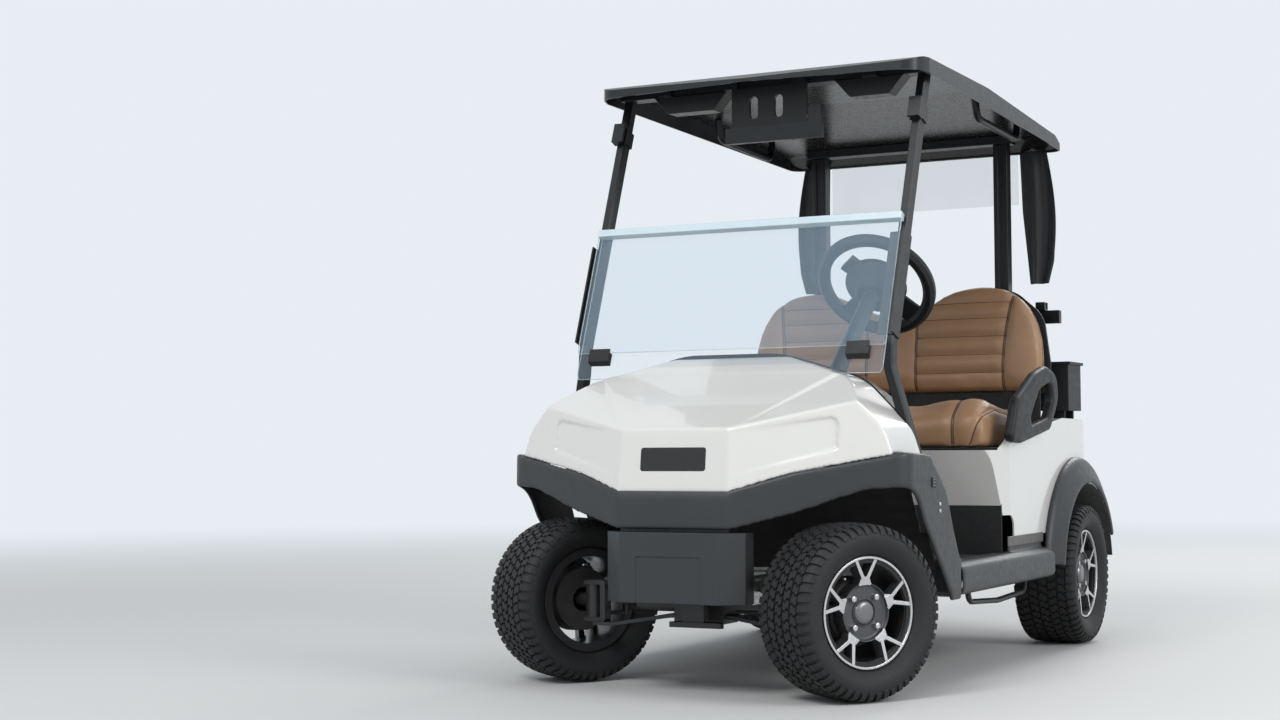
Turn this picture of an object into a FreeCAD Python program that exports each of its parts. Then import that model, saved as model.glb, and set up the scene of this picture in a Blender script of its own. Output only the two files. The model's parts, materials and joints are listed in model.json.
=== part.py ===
import FreeCAD, Part
import math
import os
from FreeCAD import Vector

# Golf cart for two, in millimetres. It drives towards -Y, its left side is +X and the ground is z = 0.
# The origin is on the ground under the middle of the whole cart.

# Driving dimensions: wheels and axles
wheelbase = 1664.0
front_axle_y = -934.0
rim_radius = 145.0          # outer edge of the rim's flange
flange_height = 18.0        # flange over the seat of the tyre
flange_width = 6.0
sidewall = 84.5             # tread over the rim's flange
tyre_width = 205.0
rim_width = 164.0
rim_wall = 5.0
spoke_count = 5
lug_circle = 101.6
lug_count = 4
kingpin_radius = 10.0
kingpin_inset = 19.0        # kingpin's axis to the inner edge of the rim
front_track_inset = 145.0   # side of the fenders to a front wheel's middle plane, steered straight
rear_track_inset = 92.0
rest_steer = -30.0          # degrees about +Z: both front wheels stand turned to the cart's right
spindle_radius = 12.5
spindle_reach = 24.0        # how far past the wheel's middle plane a spindle reaches
knuckle_half_height = 45.0
ear_thickness = 12.0
spring_half_width = 30.0
motor_ahead = 165.0         # rear axle to the motor's middle
motor_radius = 70.0
pin_play = 0.05             # radial room of a shaft in its bore
seat_gap = 0.3              # room between pieces that are laid or bolted together

# Driving dimensions: chassis
rail_x = 170.0              # middle of each rail
rail_width = 60.0
rail_bottom = 242.0
rail_height = 68.0
rail_wall = 5.0
rail_kick = 93.0            # how far the rails step up over the rear axle
frame_ahead = 131.0         # rails ahead of the front axle
frame_short = 98.4          # rails' rear ends inside the tail
floor_thickness = 18.0
hitch_spacing_x = 80.0
hitch_spacing_z = 36.0
hitch_hole_radius = 5.25
tie_rod_drop = 24.5         # tie rod under the axle
tie_rod_radius = 7.5
steering_arm = 110.0

# Driving dimensions: body
wall = 5.0                  # moulded body panels
fender_wall = 9.0
half_width = 597.0          # fenders and rockers
nose_overhang = 202.0       # front axle to the nose
rear_overhang = 488.4       # rear axle to the tail, which reaches as far as a steered front tyre
facet_x = 160.0             # half of the flat facet on the nose
facet_sweep = 0.384         # how far the swept facets run back for each millimetre outwards
facet_lean = 0.12           # how far the nose leans back for each millimetre upwards
pocket_depth = 10.0         # hollow in each swept facet, at its outer end
bumper_rise = 63.0          # bumper's upper edge over the tyres
bumper_height = 81.0
nose_height = 181.0         # bumper to the crease of the hood
cowl_rise = 209.0           # crease to the top of the cowl's arch
hood_slope = 0.54
hood_crown = 0.03           # extra slope of the hood's raised middle
cowl_length = 379.0
trim_depth = 25.0
skirt_height = 45.0         # kick strip between the rocker and the rear body
body_tuck = 41.0            # rear body's side inside the fenders' side
arch_gap = 70.5             # rear wheel arch over the tyre
flare_depth = 83.0
wheel_room = 26.0           # rear tyres to the floor of the bag well
stand_half_width = 230.0    # raised part of that floor
restraint_thickness = 28.0
seat_z = 650.0
seat_depth = 552.0
seat_ahead = 250.0          # rear edge of the cushion to the rear axle
seat_board = 8.0
seat_side_gap = 24.0        # cushion inside the rear body's side
back_rise = 165.0           # seat to the foot of the backrest
back_thickness = 84.0
back_lean = 0.12

# Driving dimensions: canopy and windshield
roof_inset = 80.0           # roof's side inside the fenders' side
strut_inset = 43.0          # struts inside the roof's side
strut_width = 28.0
strut_depth = 40.0
roof_setback = 274.0        # front axle to the roof's front edge
roof_overhang = 106.0       # rear axle to the roof's rear edge
roof_lip_front_z = 1708.0
roof_fall = 48.0
roof_lip = 40.0
roof_crown = 18.0
roof_wall = 4.0
channel_setback = 182.0     # roof's front edge to the front channel
channel_depth = 30.0        # roof channels that the struts carry
rear_strut_x = 331.0
rear_strut_ahead = 40.0     # rear struts ahead of the axle
rear_strut_half_y = 22.0
pane_thickness = 5.0
guide_thickness = 3.0       # strips on the struts that the windshield leans on
windshield_height = 367.0   # cowl's top to the hinge
hinge_half_height = 13.0

# Driving dimensions: steering
driver_x = 258.0
column_run = 458.0
column_rise = 388.0
steering_ratio = 40 / 3     # turn of the steering wheel for each degree of the front wheels
steering_wheel_radius = 161.0
steering_rim_radius = 18.0
steering_hub_radius = 92.0
steering_hub_depth = 56.0
boot_radius = 44.0

# Places that follow from them
rear_axle_y = front_axle_y + wheelbase
tyre_radius = rim_radius + sidewall
bead_radius = rim_radius - flange_height
scrub_offset = rim_width / 2 + kingpin_inset
kingpin_x = half_width - front_track_inset - scrub_offset
rear_wheel_x = half_width - rear_track_inset
tie_rod_z = tyre_radius - tie_rod_drop
motor_z = tyre_radius + 10
upper_arm_z = tyre_radius + knuckle_half_height + 3
pin_half = knuckle_half_height + seat_gap + ear_thickness
rail_outer = rail_x + rail_width / 2
rail_inner = rail_x - rail_width / 2
floor_z = rail_bottom + rail_height
floor_top = floor_z + floor_thickness
nose_y = front_axle_y - nose_overhang
tail_y = rear_axle_y + rear_overhang
frame_front_y = front_axle_y - frame_ahead
frame_rear_y = tail_y - frame_short
cowl_rear_y = nose_y + cowl_length
dash_front_y = cowl_rear_y + trim_depth - 4
bumper_top = 2 * tyre_radius + bumper_rise
bumper_low = bumper_top - bumper_height
cowl_low = bumper_top + 18
crease_z = bumper_top + nose_height
crease_y = nose_y + facet_lean * nose_height
cowl_top_z = crease_z + cowl_rise
post_y = front_axle_y + 394         # rear edge of the front post, where the rocker starts
flare_radius = tyre_radius + arch_gap
body_low_z = floor_top + wall + skirt_height
rear_half_width = half_width - body_tuck
seat_half_width = rear_half_width - seat_side_gap
seat_rear_y = rear_axle_y - seat_ahead
seat_front_y = seat_rear_y - seat_depth
deck_z = seat_z - seat_board        # top of the seat deck
bag_floor_z = 2 * tyre_radius + wheel_room
stand_z = bag_floor_z + wall + 4
well_front_y = seat_rear_y + 120
back_low_z = seat_z + back_rise
back_front_y = seat_rear_y - 15
back_half_width = seat_half_width + 9
roof_half_width = half_width - roof_inset
roof_front_y = front_axle_y + roof_setback
roof_rear_y = rear_axle_y + roof_overhang
roof_lip_rear_z = roof_lip_front_z - roof_fall
strut_x = roof_half_width - strut_inset
front_channel_y = roof_front_y + channel_setback
rear_strut_y = rear_axle_y - rear_strut_ahead
hinge_z = cowl_top_z + windshield_height
hinge_low = hinge_z - hinge_half_height
lower_pane_offset = strut_depth / 2 + guide_thickness + seat_gap + pane_thickness / 2
upper_pane_offset = lower_pane_offset + 13
column_foot = Vector(driver_x, cowl_rear_y - 3, cowl_top_z - 168)
column_top = column_foot + Vector(0, column_run, column_rise)    # middle of the steering wheel


def wire(corners, closed=True):
    """Straight runs joined by tangent arcs; corners are (point, radius of the corner)."""
    count = len(corners)
    turns = []
    for index, (point, radius) in enumerate(corners):
        if radius == 0 or (not closed and index in (0, count - 1)):
            turns.append((point, None, point))
            continue
        before = (corners[index - 1][0] - point).normalize()
        after = (corners[(index + 1) % count][0] - point).normalize()
        half = before.getAngle(after) / 2
        cut = radius / math.tan(half)
        middle = point + (before + after).normalize() * (radius / math.sin(half) - radius)
        turns.append((point + before * cut, middle, point + after * cut))
    edges = []
    for index, (start, middle, end) in enumerate(turns):
        if middle is not None:
            edges.append(Part.Arc(start, middle, end).toShape())
        if closed or index < count - 1:
            following = turns[(index + 1) % count][0]
            if end.distanceToPoint(following) > 1e-6:
                edges.append(Part.LineSegment(end, following).toShape())
    return Part.Wire(edges)


def corner(point):
    """The rounding of a corner given as (a, b) or (a, b, radius)."""
    return point[2] if len(point) > 2 else 0


def side_prism(points, x_from, x_to):
    """Extrudes an outline of (y, z, radius) corners along X."""
    corners = [(Vector(x_from, p[0], p[1]), corner(p)) for p in points]
    return Part.Face(wire(corners)).extrude(Vector(x_to - x_from, 0, 0))


def front_prism(points, y_from, y_to):
    """Extrudes an outline of (x, z, radius) corners along Y."""
    corners = [(Vector(p[0], y_from, p[1]), corner(p)) for p in points]
    return Part.Face(wire(corners)).extrude(Vector(0, y_to - y_from, 0))


def plan_prism(points, z_from, z_to):
    """Extrudes an outline of (x, y, radius) corners along Z."""
    corners = [(Vector(p[0], p[1], z_from), corner(p)) for p in points]
    return Part.Face(wire(corners)).extrude(Vector(0, 0, z_to - z_from))


def block(x_span, y_span, z_span):
    """A box between two values of each axis, given in any order."""
    spans = [sorted(span) for span in (x_span, y_span, z_span)]
    size = [span[1] - span[0] for span in spans]
    return Part.makeBox(*size, Vector(*[span[0] for span in spans]))


def rod(start, end, radius):
    along = end - start
    return Part.makeCylinder(radius, along.Length, start, along)


def bent_bar(corners, radius):
    """An eight-sided bar in a plane of constant x, along straight runs and tangent arcs."""
    path = wire(corners, closed=False)
    first = corners[0][0]
    along = (corners[1][0] - first).normalize()
    across = Vector(1, 0, 0)
    upward = along.cross(across)
    reach = radius / math.cos(math.pi / 8)
    section = []
    for index in range(8):
        angle = math.pi / 8 + index * math.pi / 4
        section.append(first + across * (reach * math.cos(angle)) + upward * (reach * math.sin(angle)))
    return path.makePipeShell([Part.makePolygon(section + section[:1])], True, False)


def mirrored(shape):
    return shape.mirror(Vector(0, 0, 0), Vector(1, 0, 0))


def pair(shape):
    """A left-hand piece with its right-hand twin, as solids that don't touch."""
    return Part.makeCompound([shape, mirrored(shape)])


def fused(shapes):
    return shapes[0].fuse(shapes[1:]).removeSplitter()


def mirror_points(points):
    """Closes a left-hand outline, listed from the centre line outwards, with its mirror image."""
    twins = [(-p[0],) + tuple(p[1:]) for p in reversed(points) if p[0] > 0]
    return list(points) + twins


def moved(points, y, z):
    """Shifts an outline of (y, z, radius) corners."""
    return [(p[0] + y, p[1] + z) + tuple(p[2:]) for p in points]


def save(name, shape):
    shape.exportStep("parts/" + name + ".step")


# Wheels

def revolved(points):
    """Turns an outline of (distance along the axle, radius, corner) about the axle."""
    corners = [(Vector(p[0], 0, p[1]), corner(p)) for p in points]
    return Part.Face(wire(corners)).revolve(Vector(0, 0, 0), Vector(1, 0, 0), 360)


def polar(radius, degrees):
    angle = math.radians(degrees)
    return (radius * math.sin(angle), radius * math.cos(angle))


def tyre():
    """Casing out to the tread, between the rim's flanges."""
    half = tyre_width / 2
    seat = rim_width / 2 - flange_width
    section = [(-seat, bead_radius), (-seat, rim_radius + 2), (-half, rim_radius + 42),
               (-half + 10, tyre_radius - 14), (-half + 32, tyre_radius)]
    return revolved(section + [(-x, radius) for x, radius in reversed(section)])


def rim_window(outline, turn):
    """A hole through the face of a rim, from an outline of (radius, degrees)."""
    corners = [polar(radius, degrees + turn) for radius, degrees in outline]
    return side_prism(corners, 0, rim_width / 2 + 5)


def rim():
    """Barrel, dished face with forked spokes, and a recessed hub with its nuts and cap."""
    half = rim_width / 2
    seat = half - flange_width
    barrel = revolved([
        (-half, bead_radius - rim_wall), (-half, rim_radius), (-seat, rim_radius), (-seat, bead_radius),
        (seat, bead_radius), (seat, rim_radius), (half, rim_radius), (half, bead_radius - rim_wall),
    ])
    ring_edge = bead_radius - rim_wall - 7
    hub_edge = lug_circle / 2 + 12
    hub_floor = 42.0
    hub_face = 60.0
    disc = revolved([
        (hub_floor - 12, 0), (hub_floor, 0), (hub_floor, hub_edge - 3), (hub_face, hub_edge - 3),
        (hub_face, hub_edge + 3), (half - 2, bead_radius - rim_wall + 1),
        (half - 17, bead_radius - rim_wall + 1), (hub_floor - 12, hub_edge + 3),
    ])
    step = 360 / spoke_count
    shoulder = (hub_edge + ring_edge) / 2
    between = [(hub_edge + 5, 15), (shoulder, 11), (ring_edge, 17), (ring_edge, step - 17),
               (shoulder, step - 11), (hub_edge + 5, step - 15)]
    fork = [(hub_edge + 20, 0), (ring_edge, 11.5), (ring_edge, -11.5)]
    for index in range(spoke_count):
        for outline in (between, fork):
            disc = disc.cut(rim_window(outline, index * step))
    hub_back = -22.0
    hub_radius = spindle_radius + 19.5
    hub = rod(Vector(hub_back, 0, 0), Vector(hub_floor - 5, 0, 0), hub_radius)
    cap = revolved([(hub_floor - 1, 0), (hub_floor - 1, 31), (hub_floor + 11, 31), (hub_floor + 15, 25),
                    (hub_floor + 15, 0)])
    pieces = [barrel, disc, hub, cap]
    for index in range(lug_count):
        turn = index * 360 / lug_count
        nut = [polar(10, side * 60) for side in range(6)]
        y, z = polar(lug_circle / 2, turn)
        pieces.append(side_prism(moved(nut, y, z), hub_floor - 1, hub_floor + 13))
    bore = rod(Vector(hub_back - 1, 0, 0), Vector(spindle_reach + 2, 0, 0), spindle_radius + pin_play)
    return fused(pieces).cut(bore)


def at_front(shape, side, height=0):
    """Puts a piece drawn from the left kingpin's axis in place, steered; side is 1 left, -1 right."""
    placed = shape.copy()
    if side < 0:
        placed.rotate(Vector(0, 0, 0), Vector(0, 0, 1), 180)
    placed.rotate(Vector(0, 0, 0), Vector(0, 0, 1), rest_steer)
    placed.translate(Vector(side * kingpin_x, front_axle_y, height))
    return placed


def wheels():
    shapes = {"tyre": tyre(), "rim": rim()}
    for name, shape in shapes.items():
        for side, word in ((1, "left"), (-1, "right")):
            front = shape.copy()
            front.translate(Vector(scrub_offset, 0, 0))
            save(name + "_front_" + word, at_front(front, side, tyre_radius))
            rear = shape.copy()
            if side < 0:
                rear.rotate(Vector(0, 0, 0), Vector(0, 0, 1), 180)
            rear.translate(Vector(side * rear_wheel_x, rear_axle_y, tyre_radius))
            save(name + "_rear_" + word, rear)


# Front axle: knuckles, tie rod, leaf spring and arms

def knuckle(side):
    """Kingpin, its sleeve, the spindle and the steering arm, drawn from the kingpin's axis."""
    sleeve_radius = kingpin_radius + 11
    sleeve = rod(Vector(0, 0, -knuckle_half_height), Vector(0, 0, knuckle_half_height), sleeve_radius)
    pin = rod(Vector(0, 0, -pin_half), Vector(0, 0, pin_half), kingpin_radius)
    spindle = rod(Vector(0, 0, 0), Vector(scrub_offset + spindle_reach, 0, 0), spindle_radius)
    shoulder = rod(Vector(0, 0, 0), Vector(scrub_offset - 28, 0, 0), spindle_radius + 6.5)
    back = side * steering_arm
    low = -tie_rod_drop - 18
    high = -tie_rod_drop - 8
    arm = plan_prism([(-11, 0), (11, 0), (9, back), (-9, back)], low, high)
    end = rod(Vector(0, back, low), Vector(0, back, high), 14)
    stud = rod(Vector(0, back, high), Vector(0, back, high + 19), 6)
    return at_front(fused([sleeve, pin, spindle, shoulder, arm, end, stud]), side, tyre_radius)


def arm_end(side):
    """The stud on the end of a steering arm, at rest."""
    angle = math.radians(rest_steer)
    return Vector(side * kingpin_x - steering_arm * math.sin(angle),
                  front_axle_y + steering_arm * math.cos(angle), tie_rod_z)


def tie_rod():
    left = arm_end(1)
    right = arm_end(-1)
    bar = rod(right + Vector(11, 0, 0), left - Vector(11, 0, 0), tie_rod_radius)
    # The right-hand eye is the opened pivot of the linkage, so its bore is wider than its stud.
    for end, bore in ((left, 6 + pin_play), (right, 8)):
        eye = rod(end - Vector(0, 0, 7.7), end + Vector(0, 0, 9), 15)
        bar = bar.fuse(eye).cut(rod(end - Vector(0, 0, 20), end + Vector(0, 0, 20), bore))
    return bar


def clevis(side):
    """The C-shaped carrier that holds a kingpin, with the ears above and below the knuckle."""
    inner = knuckle_half_height + seat_gap
    outline = [(22, -pin_half, 8), (22, -inner), (-30, -inner), (-30, inner), (22, inner),
               (22, pin_half, 8), (-46, pin_half, 8), (-46, -pin_half, 8)]
    shape = front_prism(outline, -18, 18)
    shape = shape.cut(rod(Vector(0, 0, -100), Vector(0, 0, 100), kingpin_radius + pin_play))
    if side < 0:
        shape = mirrored(shape)
    shape.translate(Vector(side * kingpin_x, front_axle_y, tyre_radius))
    return shape


def damper(side):
    """Body and rod of a damper, from the upper arm to a bracket on the rail."""
    low = Vector(side * (kingpin_x - 62), front_axle_y, upper_arm_z + 4)
    high = Vector(side * (rail_outer + 16), front_axle_y - 12, floor_z + 46)
    middle = low + (high - low) * 0.45
    bracket = block((side * rail_outer, side * (rail_outer + 30)), (high.y - 14, high.y + 14),
                    (floor_z - 30, high.z + 8))
    return [rod(low, middle, 8), rod(middle, high, 15), bracket]


def front_suspension():
    """Clevises, the upper arms to the frame and the dampers."""
    pieces = []
    for side in (1, -1):
        outer = Vector(side * (kingpin_x - 40), front_axle_y, upper_arm_z)
        carrier = [clevis(side)] + damper(side)
        for reach in (-75, 75):
            foot = Vector(side * (rail_outer + 12), front_axle_y + reach, upper_arm_z + 8)
            lug = block((side * rail_outer, side * (rail_outer + 14)), (foot.y - 10, foot.y + 10),
                        (foot.z - 12, foot.z + 12))
            eye = rod(foot - Vector(0, 16, 0), foot + Vector(0, 16, 0), 12)
            carrier += [rod(outer, foot, 9), eye, lug]
        pieces.append(fused(carrier))
    return Part.makeCompound(pieces)


def front_leaf_spring():
    """The transverse leaf under the frame, which carries both clevises at its ends."""
    low = tyre_radius - pin_half
    end_x = kingpin_x - 14
    outline = [(-end_x, low), (-end_x + 60, low), (-90, low + 32, 200), (90, low + 32, 200),
               (end_x - 60, low), (end_x, low), (end_x, low - 9), (end_x - 62, low - 9),
               (92, low + 20, 200), (-92, low + 20, 200), (-end_x + 62, low - 9), (-end_x, low - 9)]
    leaf = front_prism(outline, front_axle_y - spring_half_width, front_axle_y + spring_half_width)
    ends = (front_axle_y - spring_half_width - 15, front_axle_y + spring_half_width + 15)
    clamp = block((-75, 75), ends, (low + 8, rail_bottom))
    cross = block((-rail_outer + 10, rail_outer - 10), ends, (rail_bottom - 22, rail_bottom))
    return fused([leaf, clamp, cross])


# Chassis

def rail_outline(inset):
    """Side view of a rail, which steps up over the rear axle."""
    low = rail_bottom + inset
    high = rail_bottom + rail_height - inset
    front = frame_front_y - 1 if inset else frame_front_y
    rear = frame_rear_y + 1 if inset else frame_rear_y
    ramp = (rear_axle_y - 190, rear_axle_y - 90)
    return [(front, low), (ramp[0], low, 60), (ramp[1], low + rail_kick, 60), (rear, low + rail_kick),
            (rear, high + rail_kick), (ramp[1], high + rail_kick, 60), (ramp[0], high, 60), (front, high)]


def cross_members():
    """Bars between the rails; each row gives its middle and how far it lies over the rails' lower edge."""
    rows = (
        (frame_front_y + 25, 0), (front_axle_y + 374, 0), (seat_front_y + 132, 0),
        (rear_axle_y - motor_ahead - motor_radius - 40, 0), (frame_rear_y - 130, rail_kick),
    )
    pieces = []
    for y, lift in rows:
        low = rail_bottom + lift
        pieces.append(block((-rail_inner, rail_inner), (y - 25, y + 25), (low + 6, low + rail_height - 12)))
    return pieces


def hitch_plate():
    middle = rail_bottom + rail_kick + rail_height / 2
    front = frame_rear_y - 16
    plate = block((-rail_inner, rail_inner), (front, front + 8), (middle - 28, middle + 28))
    for x in (-hitch_spacing_x / 2, hitch_spacing_x / 2):
        for z in (-hitch_spacing_z / 2, hitch_spacing_z / 2):
            start = Vector(x, front - 1, middle + z)
            plate = plate.cut(rod(start, start + Vector(0, 10, 0), hitch_hole_radius))
    return plate


def outriggers():
    """Brackets that carry the floor, the rockers and the seat base off the rails."""
    outer = half_width - 12
    outline = [(rail_outer, rail_bottom + 10), (rail_outer, floor_z), (outer, floor_z),
               (outer, floor_z - 16), (rail_outer + 60, rail_bottom + 10)]
    places = (post_y + 40, (post_y + seat_front_y) / 2 + 86, seat_front_y + 132, seat_rear_y - 150)
    pieces = []
    for y in places:
        arm = front_prism(outline, y - 18, y + 18)
        pieces += [arm, mirrored(arm)]
    return pieces


def brake_tubes():
    """Low tubes beside the rails, hung from the outriggers."""
    x = half_width - 97
    top = floor_z - 20
    low = rail_bottom - 56
    front = (post_y + seat_front_y) / 2 + 86
    rear = seat_rear_y - 150
    corners = [(Vector(x, front, top), 0), (Vector(x, front, low + 14), 34),
               (Vector(x, (front + rear) / 2, low), 300), (Vector(x, rear, low + 10), 34),
               (Vector(x, rear, top), 0)]
    tube = bent_bar(corners, 8)
    return [tube, mirrored(tube)]


def tow_loop():
    """Hook bracket under the first cross member."""
    y = frame_front_y + 25
    stem = block((-12, 52), (y - 14, y + 14), (rail_bottom - 52, rail_bottom + 10))
    foot = plan_prism([(-57, y - 20, 10), (112, y - 20, 10), (95, y + 20, 10), (-40, y + 20, 10)],
                      rail_bottom - 66, rail_bottom - 52)
    return [stem, foot]


def chassis_frame():
    """Two box rails joined by cross members, with outriggers and a drilled plate for a tow hitch."""
    pieces = []
    for side in (1, -1):
        left = side * rail_x - rail_width / 2
        right = side * rail_x + rail_width / 2
        rail = side_prism(rail_outline(0), left, right)
        pieces.append(rail.cut(side_prism(rail_outline(rail_wall), left + rail_wall, right - rail_wall)))
    return fused(pieces + cross_members() + outriggers() + brake_tubes() + tow_loop() + [hitch_plate()])


def floor_pan():
    """Floor and toe board in one moulding."""
    toe_y = front_axle_y + 324
    dash_low = cowl_top_z - 312
    rear = seat_front_y + 40
    outline = [
        (rear, floor_z), (rear, floor_top), (toe_y + 25, floor_top, 40),
        (toe_y - 45, floor_top + 102, 30), (toe_y - 150, dash_low - 15), (toe_y - 156, dash_low - 19),
        (toe_y - 52, floor_top + 99, 30), (toe_y + 17, floor_z, 40),
    ]
    inner = half_width - 60
    pan = side_prism(outline, -inner, inner)
    corner_x = strut_path()[0][0].x - strut_width - seat_gap
    room = block((corner_x, inner + 1), (toe_y - 290, toe_y - 40), (floor_z + 60, dash_low + 100))
    return pan.cut(pair(room))


def battery_pack():
    side = seat_half_width - 277
    return block((-side, side), (seat_front_y + 82, seat_rear_y - 60), (floor_z, deck_z - 62))


# Front body

def seam_line():
    """Where the white cowl meets the moulding below it, as (y, z) from the nose back to the post."""
    return [(nose_y + 5, cowl_low), (front_axle_y - 133, bumper_top + 65),
            (front_axle_y - 21, bumper_top + 117), (front_axle_y + 141, bumper_top + 110)]


def nose_outline(inset, lean):
    """Plan of the nose at one height: flat facet, swept facets and sides; lean moves the facets back."""
    front = nose_y + lean + inset
    turn = inset * 0.2
    reach = half_width - 40 - inset
    sweep_end = front + (reach - facet_x) * facet_sweep + turn
    side = half_width - inset
    return mirror_points([(facet_x - turn, front), (reach + 38, sweep_end + 18, 55), (side, post_y - 20)])


def nose_body(inset, z_from, z_to, lean_rate):
    """Solid under the nose's facets, which lean back as they rise."""
    sections = []
    for z in (z_from, z_to):
        lean = (z - bumper_top) * lean_rate
        sections.append(wire([(Vector(p[0], p[1], z), corner(p)) for p in nose_outline(inset, lean)]))
    return Part.makeLoft(sections, True, True)


def hood_form(inset):
    """Everything under the hood: a sloping plane with a raised middle that widens towards the rear."""
    back = cowl_rear_y + 67
    run = back - crease_y
    top = crease_z - inset
    ahead = 42.0
    side_view = [(crease_y - ahead, cowl_low), (crease_y - ahead, top - ahead * hood_slope),
                 (back, top + run * hood_slope), (back, cowl_low)]
    plane = side_prism(side_view, -half_width, half_width)
    crown = [(crease_y, cowl_low), (crease_y, top), (back, top + run * (hood_slope + hood_crown)),
             (back, cowl_low)]
    raised = side_prism(crown, -half_width, half_width)
    spread = Vector(-14, 0, crease_z - cowl_low)
    plan = [(facet_x + 25 - inset, crease_y), (facet_x + 344 - inset, back), (-half_width, back),
            (-half_width, crease_y)]
    corners = [Vector(x, y, cowl_low) for x, y in plan + plan[:1]]
    flank = Part.Face(Part.makePolygon(corners)).extrude(spread * 3)
    return plane.fuse(raised.common(flank).common(mirrored(flank)))


def facet_pocket(inset):
    """The hollow in the left swept facet: nothing deep at the nose's corner, deepest at its outer end."""
    near = facet_x + 7
    far = half_width - 172
    sections = []
    for z in (bumper_top, cowl_top_z):
        front = nose_y + (z - bumper_top) * facet_lean + inset
        end = front + (far + inset - facet_x) * facet_sweep + pocket_depth
        plan = [(near, front + 3), (far + inset, end), (far + inset, nose_y - 60), (near, nose_y - 60)]
        corners = [Vector(x, y, z) for x, y in plan + plan[:1]]
        sections.append(Part.makePolygon(corners))
    window = [(near, crease_z - 5 + inset), (far + inset, crease_z + 33 + inset, 22),
              (far + inset, bumper_top + 127 - inset, 14), (near, bumper_top + 58 - inset)]
    depth = half_width * facet_sweep + 200
    return Part.makeLoft(sections, True, True).common(front_prism(window, nose_y - 60, nose_y + depth))


def cowl_solid(inset):
    """The closed form of the front cowl: nose facets, sloping hood and arched shoulders."""
    arch = mirror_points([
        (150 - inset, cowl_top_z - inset, 300), (half_width - 197 - inset, cowl_top_z - 74 - inset, 160),
        (half_width - 62 - inset, cowl_top_z - 212 - inset, 120), (half_width - 12 - inset, cowl_low),
    ])
    arch_form = front_prism(arch, nose_y - 30, cowl_rear_y + 67)
    nose = nose_body(inset, cowl_low, cowl_top_z + 28, facet_lean)
    return nose.common(hood_form(inset)).common(arch_form).cut(pair(facet_pocket(inset)))


def strut_room():
    """Both front struts with a little room round them, to cut what they pass."""
    return pair(strut_bar(strut_width + 2 * seat_gap, strut_depth + 2 * seat_gap))


def front_cowl():
    shell = cowl_solid(0).cut(cowl_solid(wall))
    front = nose_y - 164
    top = cowl_top_z + 88
    seam = list(reversed(seam_line()))
    post_z = seam[0][1]
    keep = [(front, cowl_low), (front, top), (cowl_rear_y, top), (cowl_rear_y, post_z)] + seam
    return shell.common(side_prism(keep, -700, 700)).cut(strut_room())


def band_outline():
    """Side view of the moulding: bumper, wheel arch and the post behind it."""
    front = nose_y - 164
    # Lower edge of the arch and post, from the wheel's centre
    arch = moved([(-133, 256.5), (-66, 315.5, 40), (29, 326.5, 120), (99, 225.5, 120), (294, 28.5, 40)],
                 front_axle_y, tyre_radius)
    low = rail_bottom - 6
    post = [(post_y - 92, low), (post_y, low), (post_y, floor_top - 2), (post_y - 13, floor_top)]
    back = moved([(319, 197.5, 60), (267, 305.5, 60)], front_axle_y, tyre_radius)
    seam = [(y, z, 60 if index == 0 else 0) for index, (y, z) in enumerate(reversed(seam_line()))]
    return ([(front, bumper_low), (nose_y + 2, bumper_low)] + arch + post + back + seam
            + [(nose_y, bumper_top), (front, bumper_top)])


def front_fenders():
    """Bumper, wheel arches and posts as one moulding."""
    low = rail_bottom - 42
    high = bumper_top + 138
    solid = nose_body(0, low, high, 0.03)
    room = nose_body(fender_wall, low - 1, high + 1, 0.03)
    band = side_prism(band_outline(), -700, 700)
    foot = strut_path()[0][0]
    sockets = []
    for side in (1, -1):
        reach = (side * (foot.x - strut_width), side * (half_width - fender_wall))
        sockets.append(block(reach, (foot.y - 26, foot.y + 26), (foot.z - 44, foot.z)))
    return fused([solid.cut(room).common(band)] + sockets)


def rockers():
    """The moulded sills beside the floor, with the kick strips up to the rear body."""
    rear = rear_axle_y - 388
    lip = rear_half_width - wall - 44
    outline = [
        (half_width, rail_bottom + 8, 12), (half_width, floor_top - 10, 14),
        (half_width - 26, floor_top + wall, 10), (lip, floor_top + wall), (lip, floor_top),
        (half_width - 30, floor_top, 8), (half_width - wall, floor_top - 14, 8),
        (half_width - wall, rail_bottom + 14, 8), (half_width - 40, rail_bottom + 2),
        (half_width - 40, rail_bottom - 3),
    ]
    sill = front_prism(outline, post_y, rear)
    face = rear_half_width - wall
    strip = side_prism([(seat_front_y + 80, floor_top + wall), (seat_front_y + 76, body_low_z),
                        (rear, body_low_z), (rear, floor_top + wall)], face - 4, face)
    return pair(fused([sill, strip]))


def front_fascia():
    """The box under the bumper, with its recessed panel and two ribs."""
    front = nose_y - 25
    low = rail_bottom + 4
    high = bumper_low - 9
    side = facet_x + 45
    back = frame_front_y
    box = plan_prism(mirror_points([(side - 62, front, 6), (side, front + 46, 6), (side, back)]), low, high)
    inner = mirror_points([(side - 62 - wall, front + wall), (side - wall, front + 46 + wall),
                           (side - wall, back + 1)])
    box = box.cut(plan_prism(inner, low - 6, high - wall))
    half = facet_x - 63
    panel_top = high - 64
    panel = front_prism([(-half, low - 46), (half, low - 46), (half, panel_top, 8), (-half, panel_top, 8)],
                        front - 1, front + 3)
    top = block((-facet_x, facet_x), (nose_y + fender_wall + 4, back), (high, bumper_low + wall))
    return fused([box.cut(panel), top])


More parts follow.
